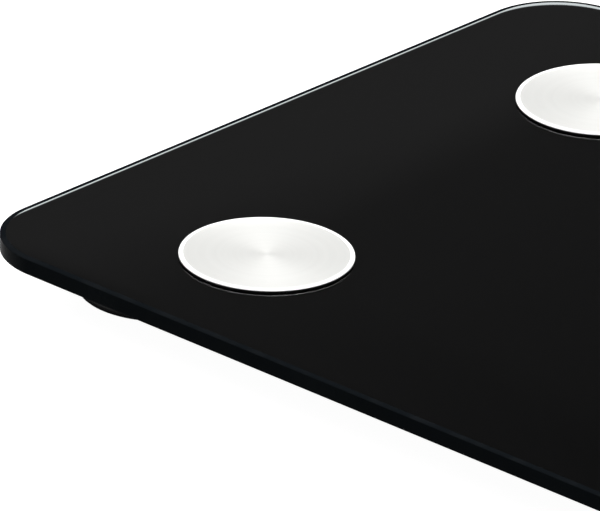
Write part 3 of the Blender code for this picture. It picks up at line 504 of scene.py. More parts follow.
@dataclass(frozen=True)
class GroundArris:
    """The matt bevel that takes the sharp corner off the glass."""

    colour: Colour = (0.004, 0.005, 0.006)
    rubbed: Colour = (0.007, 0.008, 0.009)
    roughness: tuple[float, float] = (0.55, 0.7)

    def build(self, effects: SharedEffects) -> bpy.types.Material:
        """Make the material.

        Args:
            effects: the shared shader groups.

        Returns:
            The bevel's finish.
        """
        material, graph, shader = start_material("ground_arris", Metallic=0.0, Specular_IOR_Level=0.0)
        wear = place_group(graph, effects.wear, Vector=graph.spot(), Scale=300.0)
        graph.put(shader.inputs["Base Color"], graph.mix(wear["Rub"], self.colour, self.rubbed))
        graph.put(shader.inputs["Roughness"], graph.span(wear["Rub"], 0.0, 1.0, *self.roughness))
        return material


@dataclass(frozen=True)
class BackPrint:
    """Black enamel printed under the glass."""

    colour: Colour = (0.0008, 0.0008, 0.0009)
    pale: Colour = (0.0012, 0.0012, 0.0013)
    roughness: tuple[float, float] = (0.5, 0.7)

    def build(self, effects: SharedEffects) -> bpy.types.Material:
        """Make the material.

        Args:
            effects: the shared shader groups.

        Returns:
            The enamel.
        """
        material, graph, shader = start_material("black_back_print", Metallic=0.0, Specular_IOR_Level=0.0)
        spot = graph.spot()
        grain = place_group(graph, effects.grain, Vector=spot, Scale=1800.0)
        graph.put(shader.inputs["Base Color"], graph.mix(grain["Tone"], self.colour, self.pale))
        graph.put(shader.inputs["Roughness"], graph.span(grain["Tone"], 0.0, 1.0, *self.roughness))
        add_bump(graph, shader, grain["Height"], 0.00001)
        return material


@dataclass(frozen=True)
class SpunSteel:
    """Stainless steel turned on a lathe, with its marks in rings."""

    colour: Colour = (0.645, 0.645, 0.628)
    roughness: float = 0.44
    anisotropy: float = 0.55
    metal: float = 0.32
    pitch: float = 0.0005
    ring_dulling: float = 0.96
    ring_spread: float = 0.03
    scratch_spread: float = 0.05
    mark_depth: float = 0.000006

    def build(self, effects: SharedEffects) -> bpy.types.Material:
        """Make the material.

        Args:
            effects: the shared shader groups.

        Returns:
            The steel.
        """
        material, graph, shader = start_material(
            "spun_steel", Metallic=self.metal, Anisotropic=self.anisotropy, Anisotropic_Rotation=0.25
        )
        spot = graph.spot()
        rings = place_group(graph, effects.rings, Vector=spot, Pitch=self.pitch)
        wear = place_group(graph, effects.wear, Vector=spot, Scale=120.0)
        dull = tuple(c * self.ring_dulling for c in self.colour)
        tone = rings["Tone"]
        graph.put(shader.inputs["Base Color"], graph.mix(graph.span(tone, 0.3, 0.7), self.colour, dull))
        spread = graph.span(tone, 0.3, 0.7, -self.ring_spread, self.ring_spread)
        spread = graph.math("ADD", spread, self.roughness)
        scratched = graph.span(wear["Scratch"], 0.0, 1.0, 0.0, self.scratch_spread)
        spread = graph.math("ADD", spread, scratched)
        graph.put(shader.inputs["Roughness"], spread)
        tangent = graph.node("ShaderNodeTangent", direction_type="RADIAL", axis="Z")
        graph.put(shader.inputs["Tangent"], tangent.outputs[0])
        add_bump(graph, shader, rings["Height"], self.mark_depth, 0.6)
        return material


@dataclass(frozen=True)
class Metal:
    """A plain bright or satin metal with handling marks."""

    name: str
    colour: Colour
    roughness: float
    brushed: bool = False

    def build(self, effects: SharedEffects) -> bpy.types.Material:
        """Make the material.

        Args:
            effects: the shared shader groups.

        Returns:
            The metal.
        """
        material, graph, shader = start_material(self.name, Metallic=1.0)
        spot = graph.spot()
        wear = place_group(graph, effects.wear, Vector=spot, Scale=260.0)
        dull = tuple(c * 0.7 for c in self.colour)
        graph.put(shader.inputs["Base Color"], graph.mix(wear["Rub"], self.colour, dull))
        graph.put(
            shader.inputs["Roughness"],
            graph.span(wear["Rub"], 0.0, 1.0, self.roughness, self.roughness + 0.18),
        )
        if self.brushed:
            stretch = graph.node("ShaderNodeMapping")
            graph.put(stretch.inputs["Vector"], spot)
            stretch.inputs["Scale"].default_value = (30.0, 900.0, 30.0)
            add_bump(graph, shader, graph.noise(stretch.outputs[0], 1.0, 2.0), 0.00001)
        else:
            add_bump(graph, shader, wear["Scratch"], 0.000008)
        return material


@dataclass(frozen=True)
class Moulding:
    """Moulded plastic or rubber with a grain, dust and rubbed patches."""

    name: str
    colour: Colour
    roughness: float
    grain: Grain
    specular: float = 0.4

    def build(self, effects: SharedEffects) -> bpy.types.Material:
        """Make the material.

        Args:
            effects: the shared shader groups.

        Returns:
            The moulded finish.
        """
        material, graph, shader = start_material(self.name, Metallic=0.0, Specular_IOR_Level=self.specular)
        spot = graph.spot()
        scale, depth = self.grain.value
        grain = place_group(graph, effects.grain, Vector=spot, Scale=scale)
        dust = place_group(graph, effects.dust, Vector=spot, Scale=70.0)["Mask"]
        wear = place_group(graph, effects.wear, Vector=spot, Scale=110.0)
        pale = tuple(min(1.0, c * 1.25 + 0.006) for c in self.colour)
        dusty = tuple(c * 0.8 + 0.05 for c in self.colour)
        tone = graph.mix(grain["Tone"], self.colour, pale)
        graph.put(shader.inputs["Base Color"], graph.mix(graph.math("MULTIPLY", dust, 0.25), tone, dusty))
        rough = graph.span(wear["Rub"], 0.0, 1.0, self.roughness, self.roughness - 0.1)
        graph.put(shader.inputs["Roughness"], rough)
        add_bump(graph, shader, grain["Height"], depth)
        return material


@dataclass(frozen=True)
class SolderMask:
    """A green board with its copper runs showing through the mask."""

    mask: Colour = (0.012, 0.11, 0.045)
    copper: Colour = (0.05, 0.24, 0.09)

    def build(self, effects: SharedEffects) -> bpy.types.Material:
        """Make the material.

        Args:
            effects: the shared shader groups.

        Returns:
            The board's finish.
        """
        material, graph, shader = start_material("board_mask", Metallic=0.0, Specular_IOR_Level=0.5)
        spot = graph.spot()
        bricks = graph.node("ShaderNodeTexBrick", offset=0.37)
        graph.put(bricks.inputs["Vector"], spot)
        runs_layout = {"Scale": 180.0, "Mortar Size": 0.12, "Mortar Smooth": 0.1, "Brick Width": 1.7}
        for label, value in runs_layout.items():
            bricks.inputs[label].default_value = value
        runs = graph.math("MULTIPLY", bricks.outputs["Fac"], graph.span(graph.noise(spot, 55.0), 0.45, 0.5))
        graph.put(shader.inputs["Base Color"], graph.mix(runs, self.mask, self.copper))
        dust = place_group(graph, effects.dust, Vector=spot, Scale=70.0)["Mask"]
        graph.put(shader.inputs["Roughness"], graph.span(dust, 0.0, 1.0, 0.28, 0.5))
        add_bump(graph, shader, runs, 0.00003)
        return material


@dataclass(frozen=True)
class DisplayFilm:
    """The polarising film of the display, with the faint weave of its rubbed layer."""

    name: str
    colour: Colour

    def build(self, effects: SharedEffects) -> bpy.types.Material:
        """Make the material.

        Args:
            effects: the shared shader groups.

        Returns:
            The film.
        """
        material, graph, shader = start_material(self.name, Metallic=0.0, Specular_IOR_Level=0.35)
        spot = graph.spot()
        stretch = graph.node("ShaderNodeMapping")
        graph.put(stretch.inputs["Vector"], spot)
        stretch.inputs["Scale"].default_value = (60.0, 2400.0, 1.0)
        weave = graph.noise(stretch.outputs[0], 1.0, 1.0)
        slow = graph.noise(spot, 22.0, 2.0)
        pale = tuple(c * 1.14 for c in self.colour)
        tone = graph.math("ADD", graph.math("MULTIPLY", weave, 0.2), graph.math("MULTIPLY", slow, 0.6))
        graph.put(shader.inputs["Base Color"], graph.mix(tone, self.colour, pale))
        dust = place_group(graph, effects.dust, Vector=spot, Scale=90.0)["Mask"]
        graph.put(shader.inputs["Roughness"], graph.span(dust, 0.0, 1.0, 0.22, 0.4))
        return material


@dataclass
class Finishes:
    """Every finish of the scale, made once."""

    effects: SharedEffects = field(default_factory=SharedEffects)
    made: dict[str, bpy.types.Material] = field(default_factory=dict)

    def __post_init__(self) -> None:
        """Build the materials."""
        palette = {
            "glass": ClearGlass(),
            "edge": GroundEdge(),
            "arris": GroundArris(),
            "print": BackPrint(),
            "spun_steel": SpunSteel(),
            # Painted highlight: the steel disc's bevel and lip are given a near-white non-metal colour for
            # the bright ring of its rim.
            "disc_rim_highlight": Moulding("painted_highlight_rim", (0.86, 0.86, 0.85), 0.35, Grain.SATIN, 0.8),
            # Painted shadow: the disc's upright steel side is given a near-black colour for the dark line of
            # shade under the disc.
            "disc_side": Moulding("painted_shadow_side", (0.003, 0.003, 0.003), 0.8, Grain.SATIN, 0.0),
            "plated_steel": Metal("nickel_plate", (0.72, 0.70, 0.66), 0.22),
            "cell_steel": Metal("cell_steel", (0.52, 0.53, 0.55), 0.34, True),
            "housing": Moulding("black_housing", (0.012, 0.012, 0.013), 0.5, Grain.FINE),
            "foot": Moulding("black_foot", (0.010, 0.010, 0.011), 0.42, Grain.SATIN),
            "rubber": Moulding("foot_rubber", (0.018, 0.018, 0.018), 0.8, Grain.COARSE, 0.2),
            "white": Moulding("white_plastic", (0.72, 0.72, 0.70), 0.42, Grain.SATIN),
            "jacket": Moulding("battery_jacket", (0.03, 0.09, 0.26), 0.3, Grain.SATIN, 0.5),
            "cable": Moulding("cable_jacket", (0.035, 0.035, 0.038), 0.5, Grain.SATIN),
            "lead": Moulding("lead_jacket", (0.42, 0.02, 0.02), 0.45, Grain.SATIN),
            "chip": Moulding("chip_body", (0.015, 0.015, 0.017), 0.35, Grain.SATIN),
            "board": SolderMask(),
            "panel": DisplayFilm("display_film", (0.105, 0.125, 0.10)),
            "segment": DisplayFilm("display_segments", (0.062, 0.077, 0.060)),
            "panel_glass": Moulding("display_body", (0.05, 0.06, 0.055), 0.2, Grain.SATIN, 0.6),
            "band": Moulding("jacket_band", (0.55, 0.55, 0.53), 0.3, Grain.SATIN, 0.5),
        }
        for name, finish in palette.items():
            self.made[name] = finish.build(self.effects)

    def __getitem__(self, name: str) -> bpy.types.Material:
        """The material of that name."""
        return self.made[name]


# ---------------------------------------------------------------- meshes


def even_shading(piece: bpy.types.Object) -> None:
    """Keep large flat faces flat beside their rounded edges."""
    weights = piece.modifiers.new("even_shading", "WEIGHTED_NORMAL")
    weights.keep_sharp = True


def mesh_of(name: str, shape: bmesh.types.BMesh) -> bpy.types.Mesh:
    """Turn a shape into a mesh and free the shape.

    Args:
        name: the mesh's name.
        shape: the shape.

    Returns:
        The mesh.
    """
    mesh = bpy.data.meshes.new(name)
    shape.to_mesh(mesh)
    shape.free()
    return mesh


def link_mesh(name: str, mesh: bpy.types.Mesh, centre: Point = (0.0, 0.0, 0.0)) -> bpy.types.Object:
    """Put a mesh in the scene.

    Args:
        name: the piece's name.
        mesh: its mesh, about its own centre.
        centre: where it stands.

    Returns:
        The piece.
    """
    piece = bpy.data.objects.new(name, mesh)
    piece.location = centre
    bpy.context.scene.collection.objects.link(piece)
    return piece


def turned_piece(
    name: str, profile: Profile, centre: Point, steps: int, sharp: float = 30.0
) -> bpy.types.Object:
    """A closed turned piece from a (radius, height) outline in metres.

    Args:
        name: the piece's name.
        profile: points from the axis, round the section and back to the axis.
        centre: where its axis and zero height stand.
        steps: faces round the axis.
        sharp: edges over this angle in degrees stay crisp.

    Returns:
        The piece.
    """
    shape = bmesh.new()
    rows: list[list[bmesh.types.BMVert]] = []
    for radius, height in profile:
        count = 1 if radius < 1e-7 else steps
        row = []
        for step in range(count):
            turn = 2 * math.pi * step / steps
            row.append(shape.verts.new((radius * math.cos(turn), radius * math.sin(turn), height)))
        rows.append(row)
    for upper, lower in zip(rows, rows[1:]):
        for step in range(steps):
            after = (step + 1) % steps
            if len(upper) == 1:
                shape.faces.new((upper[0], lower[step], lower[after]))
            elif len(lower) == 1:
                shape.faces.new((upper[step], lower[0], upper[after]))
            else:
                shape.faces.new((upper[step], lower[step], lower[after], upper[after]))
    bmesh.ops.recalc_face_normals(shape, faces=shape.faces)
    mesh = mesh_of(name, shape)
    shade(mesh, sharp)
    return link_mesh(name, mesh, centre)


def shade(mesh: bpy.types.Mesh, sharp: float) -> None:
    """Shade a mesh smooth, with edges over an angle in degrees kept crisp."""
    mesh.polygons.foreach_set("use_smooth", [True] * len(mesh.polygons))
    mesh.set_sharp_from_angle(angle=math.radians(sharp))


def rounded(corner: tuple[float, float], turn: float, radius: float, steps: int = 6) -> Profile:
    """Points of a quarter round for a profile.

    Args:
        corner: the round's centre.
        turn: the angle of its first point in degrees, running clockwise.
        radius: its radius.
        steps: its number of chords.

    Returns:
        The points.
    """
    points = []
    for step in range(steps + 1):
        angle = math.radians(turn - 90.0 * step / steps)
        points.append((corner[0] + radius * math.cos(angle), corner[1] + radius * math.sin(angle)))
    return points


def slab_mesh(name: str, low: Point, high: Point, corner: float, edge: float) -> bpy.types.Object:
    """A block with round upright corners and small round edges.

    Args:
        name: the piece's name.
        low: its low corner.
        high: its high corner.
        corner: the radius of its upright corners.
        edge: the radius of its other edges.

    Returns:
        The piece.
    """
    size = Vector(high) - Vector(low)
    shape = bmesh.new()
    bmesh.ops.create_cube(shape, size=1.0)
    bmesh.ops.scale(shape, vec=size, verts=shape.verts)
    upright = [e for e in shape.edges if abs(e.verts[0].co.z - e.verts[1].co.z) > size.z / 2]
    bmesh.ops.bevel(shape, geom=upright, offset=corner, segments=6, profile=0.5, affect="EDGES")
    level = [e for e in shape.edges if e.calc_face_angle(0.0) > math.radians(60.0)]
    bmesh.ops.bevel(shape, geom=level, offset=edge, segments=2, profile=0.5, affect="EDGES")
    mesh = mesh_of(name, shape)
    shade(mesh, CRISP_ANGLE)
    piece = link_mesh(name, mesh, tuple((Vector(low) + Vector(high)) / 2))
    even_shading(piece)
    return piece


def on_lower_rim(edge: bmesh.types.BMEdge, low: Vector, high: Vector) -> bool:
    """Whether an edge is on the outer border of a piece's lowest face.

    Args:
        edge: the edge.
        low: the low corner of the piece's box.
        high: the high corner of the piece's box.

    Returns:
        True where it is.
    """
    for vert in edge.verts:
        reach = min(vert.co.x - low.x, high.x - vert.co.x, vert.co.y - low.y, high.y - vert.co.y)
        if vert.co.z > low.z + RIM_HEIGHT or reach > RIM_REACH:
            return False
    walls = [face for face in edge.link_faces if abs(face.normal.z) < UPRIGHT_NORMAL]
    outward = edge.verts[0].co - (low + high) / 2
    return bool(walls) and walls[0].normal.dot(outward) > RIM_OUTWARD


def softened(
    node: str, body: str, width: float, steps: int = 2, rim: bool = False
) -> bpy.types.Object:
    """A copy of a CAD node's shape with its sharp edges rounded off, in place of that node.

    Args:
        node: the CAD node.
        body: the CAD body it rides on.
        width: the radius of the rounding.
        steps: faces across the rounding.
        rim: whether to round only the outer edge of its lowest face.

    Returns:
        The rounded piece.
    """
    source = bpy.data.objects[node]
    shape = bmesh.new()
    shape.from_mesh(source.data)
    shape.transform(source.matrix_world)
    bmesh.ops.remove_doubles(shape, verts=shape.verts, dist=1e-6)
    bmesh.ops.dissolve_limit(shape, angle_limit=math.radians(0.5), verts=shape.verts, edges=shape.edges)
    low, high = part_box(node)
    edges = []
    for edge in shape.edges:
        if len(edge.link_faces) != 2 or edge.calc_face_angle(0.0) < math.radians(SHARP_EDGE_ANGLE):
            continue
        if not rim or on_lower_rim(edge, low, high):
            edges.append(edge)
    bmesh.ops.bevel(
        shape, geom=edges, offset=width, segments=steps, profile=0.5, affect="EDGES", clamp_overlap=not rim
    )
    mesh = mesh_of(node + "_shape", shape)
    shade(mesh, SHARP_EDGE_ANGLE)
    piece = link_mesh(node + "_shape", mesh)
    even_shading(piece)
    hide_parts(node)
    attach(piece, body)
    return piece


def paint(piece: bpy.types.Object, material: bpy.types.Material) -> None:
    """Give a piece one material."""
    piece.data.materials.clear()
    piece.data.materials.append(material)


def paint_node(node: bpy.types.Object, material: bpy.types.Material) -> None:
    """Give a carried-over CAD node one material.

    Args:
        node: the CAD node.
        material: its finish.
    """
    for place in node.material_slots:
        place.material = material
    if not node.material_slots:
        node.data.materials.append(material)


def middle(node: str) -> Vector:
    """The middle of a CAD node's box."""
    low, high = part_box(node)
    return (low + high) / 2


# ---------------------------------------------------------------- sub-assemblies


@dataclass
class GlassPlatform:
    """The tempered glass slab, printed black underneath, with a clear window over the display."""

    corner_radius: float = 0.030
    arris_width: float = 0.0021
    arris_height: float = 0.0004
    lower_arris: float = 0.0006
    arris_steps: int = 5
    flat: float = 0.000001
    corner_steps: int = 28
    hole_radius: float = 0.004
    drill_reach: float = 0.01
    hole_steps: int = 32
    window: tuple[float, float] = (0.070, 0.028)

    def outline(self, half_x: float, half_y: float, radius: float) -> list[tuple[float, float]]:
        """The plan of the slab.

        Args:
            half_x: half its width.
            half_y: half its depth.
            radius: its corner radius.

        Returns:
            Points running anticlockwise.
        """
        points = []
        for quarter, (sx, sy) in enumerate(((1, 1), (-1, 1), (-1, -1), (1, -1))):
            for step in range(self.corner_steps + 1):
                turn = math.pi / 2 * (quarter + step / self.corner_steps)
                points.append(
                    (
                        sx * (half_x - radius) + radius * math.cos(turn),
                        sy * (half_y - radius) + radius * math.sin(turn),
                    )
                )
        return points

    def build(self, finishes: Finishes) -> None:
        """Make the slab in place of the CAD glass.

        Args:
            finishes: the finishes.
        """
        low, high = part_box("glass_platform")
        half_x, half_y = (high.x - low.x) / 2, (high.y - low.y) / 2
        turns = [math.pi / 2 * step / self.arris_steps for step in range(self.arris_steps + 1)]
        lower = [
            (self.lower_arris * (1 - math.sin(t)), low.z + self.lower_arris * (1 - math.cos(t)))
            for t in turns
        ]
        upper = [
            (self.arris_width * (1 - math.sin(t)), high.z - self.arris_height * (1 - math.cos(t)))
            for t in reversed(turns)
        ]
        sections = lower + upper
        shape = bmesh.new()
        rings = []
        for inset, height in sections:
            plan = self.outline(half_x - inset, half_y - inset, self.corner_radius - inset)
            rings.append([shape.verts.new((x, y, height)) for x, y in plan])
        count = len(rings[0])
        for under, over in zip(rings, rings[1:]):
            for i in range(count):
                j = (i + 1) % count
                shape.faces.new((under[i], under[j], over[j], over[i]))
        shape.faces.new(list(reversed(rings[0])))
        shape.faces.new(rings[-1])
        slab = link_mesh("glass_slab", mesh_of("glass_slab", shape))
        self.drill(slab)
        for name in ("glass", "edge", "print", "arris"):
            slab.data.materials.append(finishes[name])
        self.dress(slab, low.z, high.z)
        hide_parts("glass_platform")
        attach(slab, "platform")

    def drill(self, slab: bpy.types.Object) -> None:
        """Cut the four stud holes and mark out the display window.

        Args:
            slab: the slab.
        """
        low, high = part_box("glass_platform")
        for corner in Corner:
            centre = middle("electrode_stud_" + corner.label)
            radius, reach = self.hole_radius, self.drill_reach
            profile = [(0.0, reach), (radius, reach), (radius, -reach), (0.0, -reach)]
            place = (centre.x, centre.y, (low.z + high.z) / 2)
            drill = turned_piece("drill", profile, place, self.hole_steps)
            cut = slab.modifiers.new("hole", "BOOLEAN")
            cut.operation = "DIFFERENCE"
            cut.solver = "EXACT"
            cut.object = drill
            bpy.context.view_layer.objects.active = slab
            bpy.ops.object.modifier_apply(modifier=cut.name)
            bpy.data.objects.remove(drill, do_unlink=True)
        shape = bmesh.new()
        shape.from_mesh(slab.data)
        display = middle("display_panel")
        for axis in (0, 1):
            for hand in (-1, 1):
                point = Vector((0.0, 0.0, 0.0))
                point[axis] = display[axis] + hand * self.window[axis] / 2
                normal = Vector((0.0, 0.0, 0.0))
                normal[axis] = 1.0
                under = [f for f in shape.faces if f.normal.z < -0.9]
                parts = {e for f in under for e in f.edges} | {v for f in under for v in f.verts} | set(under)
                bmesh.ops.bisect_plane(shape, geom=list(parts), plane_co=point, plane_no=normal)
        shape.to_mesh(slab.data)
        shape.free()

    def dress(self, slab: bpy.types.Object, bottom: float, top: float) -> None:
        """Give each face its finish: clear top, ground sides and holes, printed underside, clear window.

        Args:
            slab: the slab.
            bottom: the height of its underside.
            top: the height of its top.
        """
        display = middle("display_panel")
        for face in slab.data.polygons:
            height = face.center.z
            if height > top - self.flat:
                face.material_index = 0
            elif height < bottom + self.flat:
                inside = (
                    abs(face.center.x - display.x) < self.window[0] / 2
                    and abs(face.center.y - display.y) < self.window[1] / 2
                )
                face.material_index = 0 if inside else 2
            elif height > top - self.arris_height:
                face.material_index = 3
            else:
                face.material_index = 1
        shade(slab.data, CRISP_ANGLE)


@dataclass
class Electrodes:
    """The four spun steel discs, their contact studs and ring terminals."""

    bevel: float = 0.00045
    lip: float = 0.0011
    dish: float = 0.00025
    dish_step: float = 0.0002
    dish_turn: float = 0.6
    bevel_turn: float = 0.3
    dish_rings: tuple[float, ...] = (0.25, 0.5, 0.75, 0.97)
    sharp: float = 18.0
    steps: int = 160

    def build(self, finishes: Finishes) -> None:
        """Make the discs.

        Args:
            finishes: the finishes.
        """
        for corner in Corner:
            self.disc(corner, finishes)

    def disc(self, corner: Corner, finishes: Finishes) -> None:
        """One disc in place of its CAD node.

        Args:
            corner: which disc.
            finishes: the finishes.
        """
        node = "electrode_" + corner.label
        low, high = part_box(node)
        radius = (high.x - low.x) / 2
        thick = high.z - low.z
        inside = radius - self.bevel - self.lip
        profile: Profile = [(0.0, thick - self.dish)]
        turn = self.bevel * self.bevel_turn
        profile += [(inside * part, thick - self.dish) for part in self.dish_rings]
        profile += [(inside - self.dish_step, thick - self.dish * self.dish_turn), (inside, thick)]
        profile += [(radius - self.bevel, thick), (radius - turn, thick - turn)]
        profile += [(radius, thick - self.bevel), (radius, 0.0), (0.0, 0.0)]
        centre = middle(node)
        place = (centre.x, centre.y, low.z)
        piece = turned_piece("disc_" + corner.label, profile, place, self.steps, self.sharp)
        for finish in ("spun_steel", "disc_rim_highlight", "disc_side"):
            piece.data.materials.append(finishes[finish])
        for face in piece.data.polygons:
            reach = face.center.xy.length
            # Upright faces: the near-black painted shadow of the disc's side.
            if abs(face.normal.z) < UPRIGHT_NORMAL:
                face.material_index = 2
            # Faces outside the dish: the near-white painted highlight of the rim.
            elif reach > inside:
                face.material_index = 1
        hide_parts(node)
        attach(piece, "platform")


@dataclass
class Foot:
    """One corner foot: the drum under the glass, the sprung cup and its rubber pad."""

    corner: Corner
    wall: float = 0.0018
    edge: float = 0.0020
    floor: float = 0.0020
    post: float = 0.0040
    soft: float = 0.0003
    fillet: float = 0.0008
    pad_gap: float = 0.0003
    groove: tuple[float, float, float] = (0.0006, 0.0009, 0.0012)
    groove_depth: float = 0.00015
    ring: tuple[float, float, float, float] = (0.0007, 0.0010, 0.0019, 0.0022)
    ring_depth: float = 0.0003
    edge_steps: int = 8
    grip_rings: tuple[float, ...] = (0.82, 0.60, 0.38)
    grip_half: float = 0.0007
    grip_slope: float = 0.0002
    grip_depth: float = 0.0005
    sole_edge: float = 0.0005
    sole_turn: float = 0.00015
    steps: int = 112

    def build(self, finishes: Finishes) -> None:
        """Make the cup and the pad in place of their CAD nodes.

        Args:
            finishes: the finishes.
        """
        self.cup(finishes)
        self.pad(finishes)

    def cup(self, finishes: Finishes) -> None:
        """The moving cup, with a raised ring inside its round lower edge.

        Args:
            finishes: the finishes.
        """
        node = "foot_cup_" + self.corner.label
        low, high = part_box(node)
        pad_low, pad_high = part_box("foot_pad_" + self.corner.label)
        radius = (high.x - low.x) / 2
        recess = (pad_high.x - pad_low.x) / 2 + self.pad_gap
        cup_top = self.rim_height(node, radius)
        floor = low.z + self.floor
        inner = radius - self.wall
        soft = self.soft
        rise = low.z + self.edge
        profile: Profile = [(0.0, high.z), (self.post - soft, high.z), (self.post, high.z - soft)]
        profile += [(self.post, floor), (inner - self.fillet, floor), (inner, floor + self.fillet)]
        profile += [(inner, cup_top - soft), (inner + soft, cup_top), (radius - soft, cup_top)]
        profile += [(radius, cup_top - soft), (radius, rise + self.groove[2])]
        profile += [(radius - self.groove_depth, rise + self.groove[1]), (radius, rise + self.groove[0])]
        profile += rounded((radius - self.edge, rise), 0.0, self.edge, self.edge_steps)
        ring = [recess + reach for reach in reversed(self.ring)]
        profile += [(ring[0], low.z), (ring[1], low.z + self.ring_depth), (ring[2], low.z + self.ring_depth)]
        roof = pad_high.z + self.pad_gap
        profile += [(ring[3], low.z), (recess, low.z), (recess, roof), (0.0, roof)]
        centre = middle(node)
        piece = turned_piece("cup_" + self.corner.label, profile, (centre.x, centre.y, 0.0), self.steps)
        paint(piece, finishes["foot"])
        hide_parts(node)
        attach(piece, "foot_" + self.corner.label)

    @staticmethod
    def rim_height(node: str, radius: float) -> float:
        """The height of a cup's rim, read from the CAD points on its outer wall.

        Args:
            node: the cup's CAD node.
            radius: the cup's radius.

        Returns:
            The height of its rim.
        """
        points = [v.co for v in bpy.data.objects[node].data.vertices]
        low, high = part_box(node)
        centre = (low + high) / 2
        return max(point.z for point in points if (point - centre).xy.length > radius * WALL_SHARE)

    def pad(self, finishes: Finishes) -> None:
        """The rubber pad, with three shallow grip rings in its sole.

        Args:
            finishes: the finishes.
        """
        node = "foot_pad_" + self.corner.label
        low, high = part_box(node)
        radius = (high.x - low.x) / 2
        soft = self.soft
        roof = low.z + self.grip_depth
        profile: Profile = [(0.0, high.z), (radius - soft, high.z), (radius, high.z - soft)]
        profile += [(radius, low.z + self.sole_edge), (radius - self.sole_turn, low.z + self.sole_turn)]
        profile.append((radius - self.sole_edge, low.z))
        for share in self.grip_rings:
            outer = radius * share + self.grip_half
            inner = radius * share - self.grip_half
            profile += [(outer, low.z), (outer - self.grip_slope, roof)]
            profile += [(inner + self.grip_slope, roof), (inner, low.z)]
        profile.append((0.0, low.z))
        centre = middle(node)
        piece = turned_piece("pad_" + self.corner.label, profile, (centre.x, centre.y, 0.0), self.steps)
        paint(piece, finishes["rubber"])
        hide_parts(node)
        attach(piece, "foot_" + self.corner.label)


@dataclass
class Display:
    """The liquid crystal panel: two glass plates, the film and its unlit segments."""

    ledge: float = 0.0022
    plate: float = 0.0011
    plate_corner: float = 0.0004
    plate_edge: float = 0.0001
    film_inset: float = 0.0010
    film_drop: float = 0.00014
    film_gap: float = 0.0001
    film_thickness: float = 0.00015
    film_corner: float = 0.0006
    film_edge: float = 0.00004
    segment_gap: float = 0.00006
    digit_size: tuple[float, float] = (0.0105, 0.0190)
    digit_pitch: float = 0.0145
    digit_count: int = 4
    last_digit: float = 0.72
    first_place: float = 1.75
    point_place: float = 2.5
    point_size: float = 0.0011
    unit_place: float = 4.0
    unit_rise: float = 0.0065
    unit_size: tuple[float, float] = (0.0052, 0.0020)
    stroke: float = 0.0019
    slant: float = 0.10
    tip: float = 0.9

    def build(self, finishes: Finishes) -> None:
        """Make the panel in place of its CAD node.

        Args:
            finishes: the finishes.
        """
        low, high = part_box("display_panel")
        film_top = high.z - self.film_drop
        front = (high.x, high.y - self.ledge, film_top - self.film_gap)
        body = slab_mesh("display_plates", tuple(low), front, self.plate_corner, self.plate_edge)
        back = (high.x, high.y, low.z + self.plate)
        rear = slab_mesh("display_rear_plate", tuple(low), back, self.plate_corner, self.plate_edge)
        inset = self.film_inset
        film = slab_mesh(
            "display_film",
            (low.x + inset, low.y + inset, film_top - self.film_thickness),
            (high.x - inset, high.y - self.ledge - inset, film_top),
            self.film_corner,
            self.film_edge,
        )
        segments = self.segments((film_top - self.film_thickness / 2, high.z - self.segment_gap))
        dressed = {"panel_glass": (body, rear), "panel": (film,), "segment": (segments,)}
        for finish, pieces in dressed.items():
            for piece in pieces:
                paint(piece, finishes[finish])
                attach(piece, "platform")
        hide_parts("display_panel")

    def segments(self, levels: Level) -> bpy.types.Object:
        """The unlit digits, as thin raised bars.

        Args:
            levels: the heights of their undersides and faces.

        Returns:
            The segments as one piece.
        """
        centre = middle("display_panel")
        width, height = self.digit_size
        shape = bmesh.new()
        start = centre.x - self.digit_pitch * self.first_place
        base = centre.y - self.ledge / 2
        for place in range(self.digit_count):
            grow = 1.0 if place < self.digit_count - 1 else self.last_digit
            at = (start + self.digit_pitch * place, base - height * (1.0 - grow) / 2)
            self.digit(shape, at, (width * grow, height * grow), levels)
        point = (start + self.digit_pitch * self.point_place, base - height / 2)
        self.bar(shape, point, (self.point_size, self.point_size), levels)
        for row in (-1, 1):
            at = (start + self.digit_pitch * self.unit_place, base + row * self.unit_rise)
            self.bar(shape, at, self.unit_size, levels)
        bmesh.ops.recalc_face_normals(shape, faces=shape.faces)
        return link_mesh("display_segments", mesh_of("display_segments", shape))

    def digit(self, shape: bmesh.types.BMesh, at: Place, size: Place, levels: Level) -> None:
        """Add one digit's seven bars about a point.

        Args:
            shape: the mesh to add them to.
            at: the digit's middle.
            size: its width and height.
            levels: the heights of the bars' undersides and faces.
        """
        (x, y), (width, height) = at, size
        level_bar = (width - self.stroke, self.stroke)
        upright_bar = (self.stroke, height / 2 - self.stroke)
        for row in (-1, 0, 1):
            place = (x + self.slant * row * height / 2, y + row * height / 2)
            self.bar(shape, place, level_bar, levels)
        for side in (-1, 1):
            for row in (-1, 1):
                lean = self.slant * row * height / 4
                place = (x + side * width / 2 + lean, y + row * height / 4)
                self.bar(shape, place, upright_bar, levels)

    def bar(self, shape: bmesh.types.BMesh, at: Place, size: Place, levels: Level) -> None:
        """Add one bar with pointed ends, leaning with the digits.

        Args:
            shape: the mesh to add it to.
            at: its middle.
            size: its width and depth.
            levels: the heights of its underside and its face.
        """
        across = size[0] > size[1]
        long, short = max(size) / 2, min(size) / 2
        body = long - short * self.tip
        plan = [(long, 0.0), (body, short), (-body, short), (-long, 0.0), (-body, -short), (body, -short)]
        if not across:
            plan = [(-v, u) for u, v in plan]
        rings = []
        for height in levels:
            ring = [(at[0] + u + self.slant * v, at[1] + v, height) for u, v in plan]
            rings.append([shape.verts.new(corner) for corner in ring])
        shape.faces.new(rings[1])
        shape.faces.new(list(reversed(rings[0])))
        for i in range(len(plan)):
            j = (i + 1) % len(plan)
            shape.faces.new((rings[0][i], rings[0][j], rings[1][j], rings[1][i]))


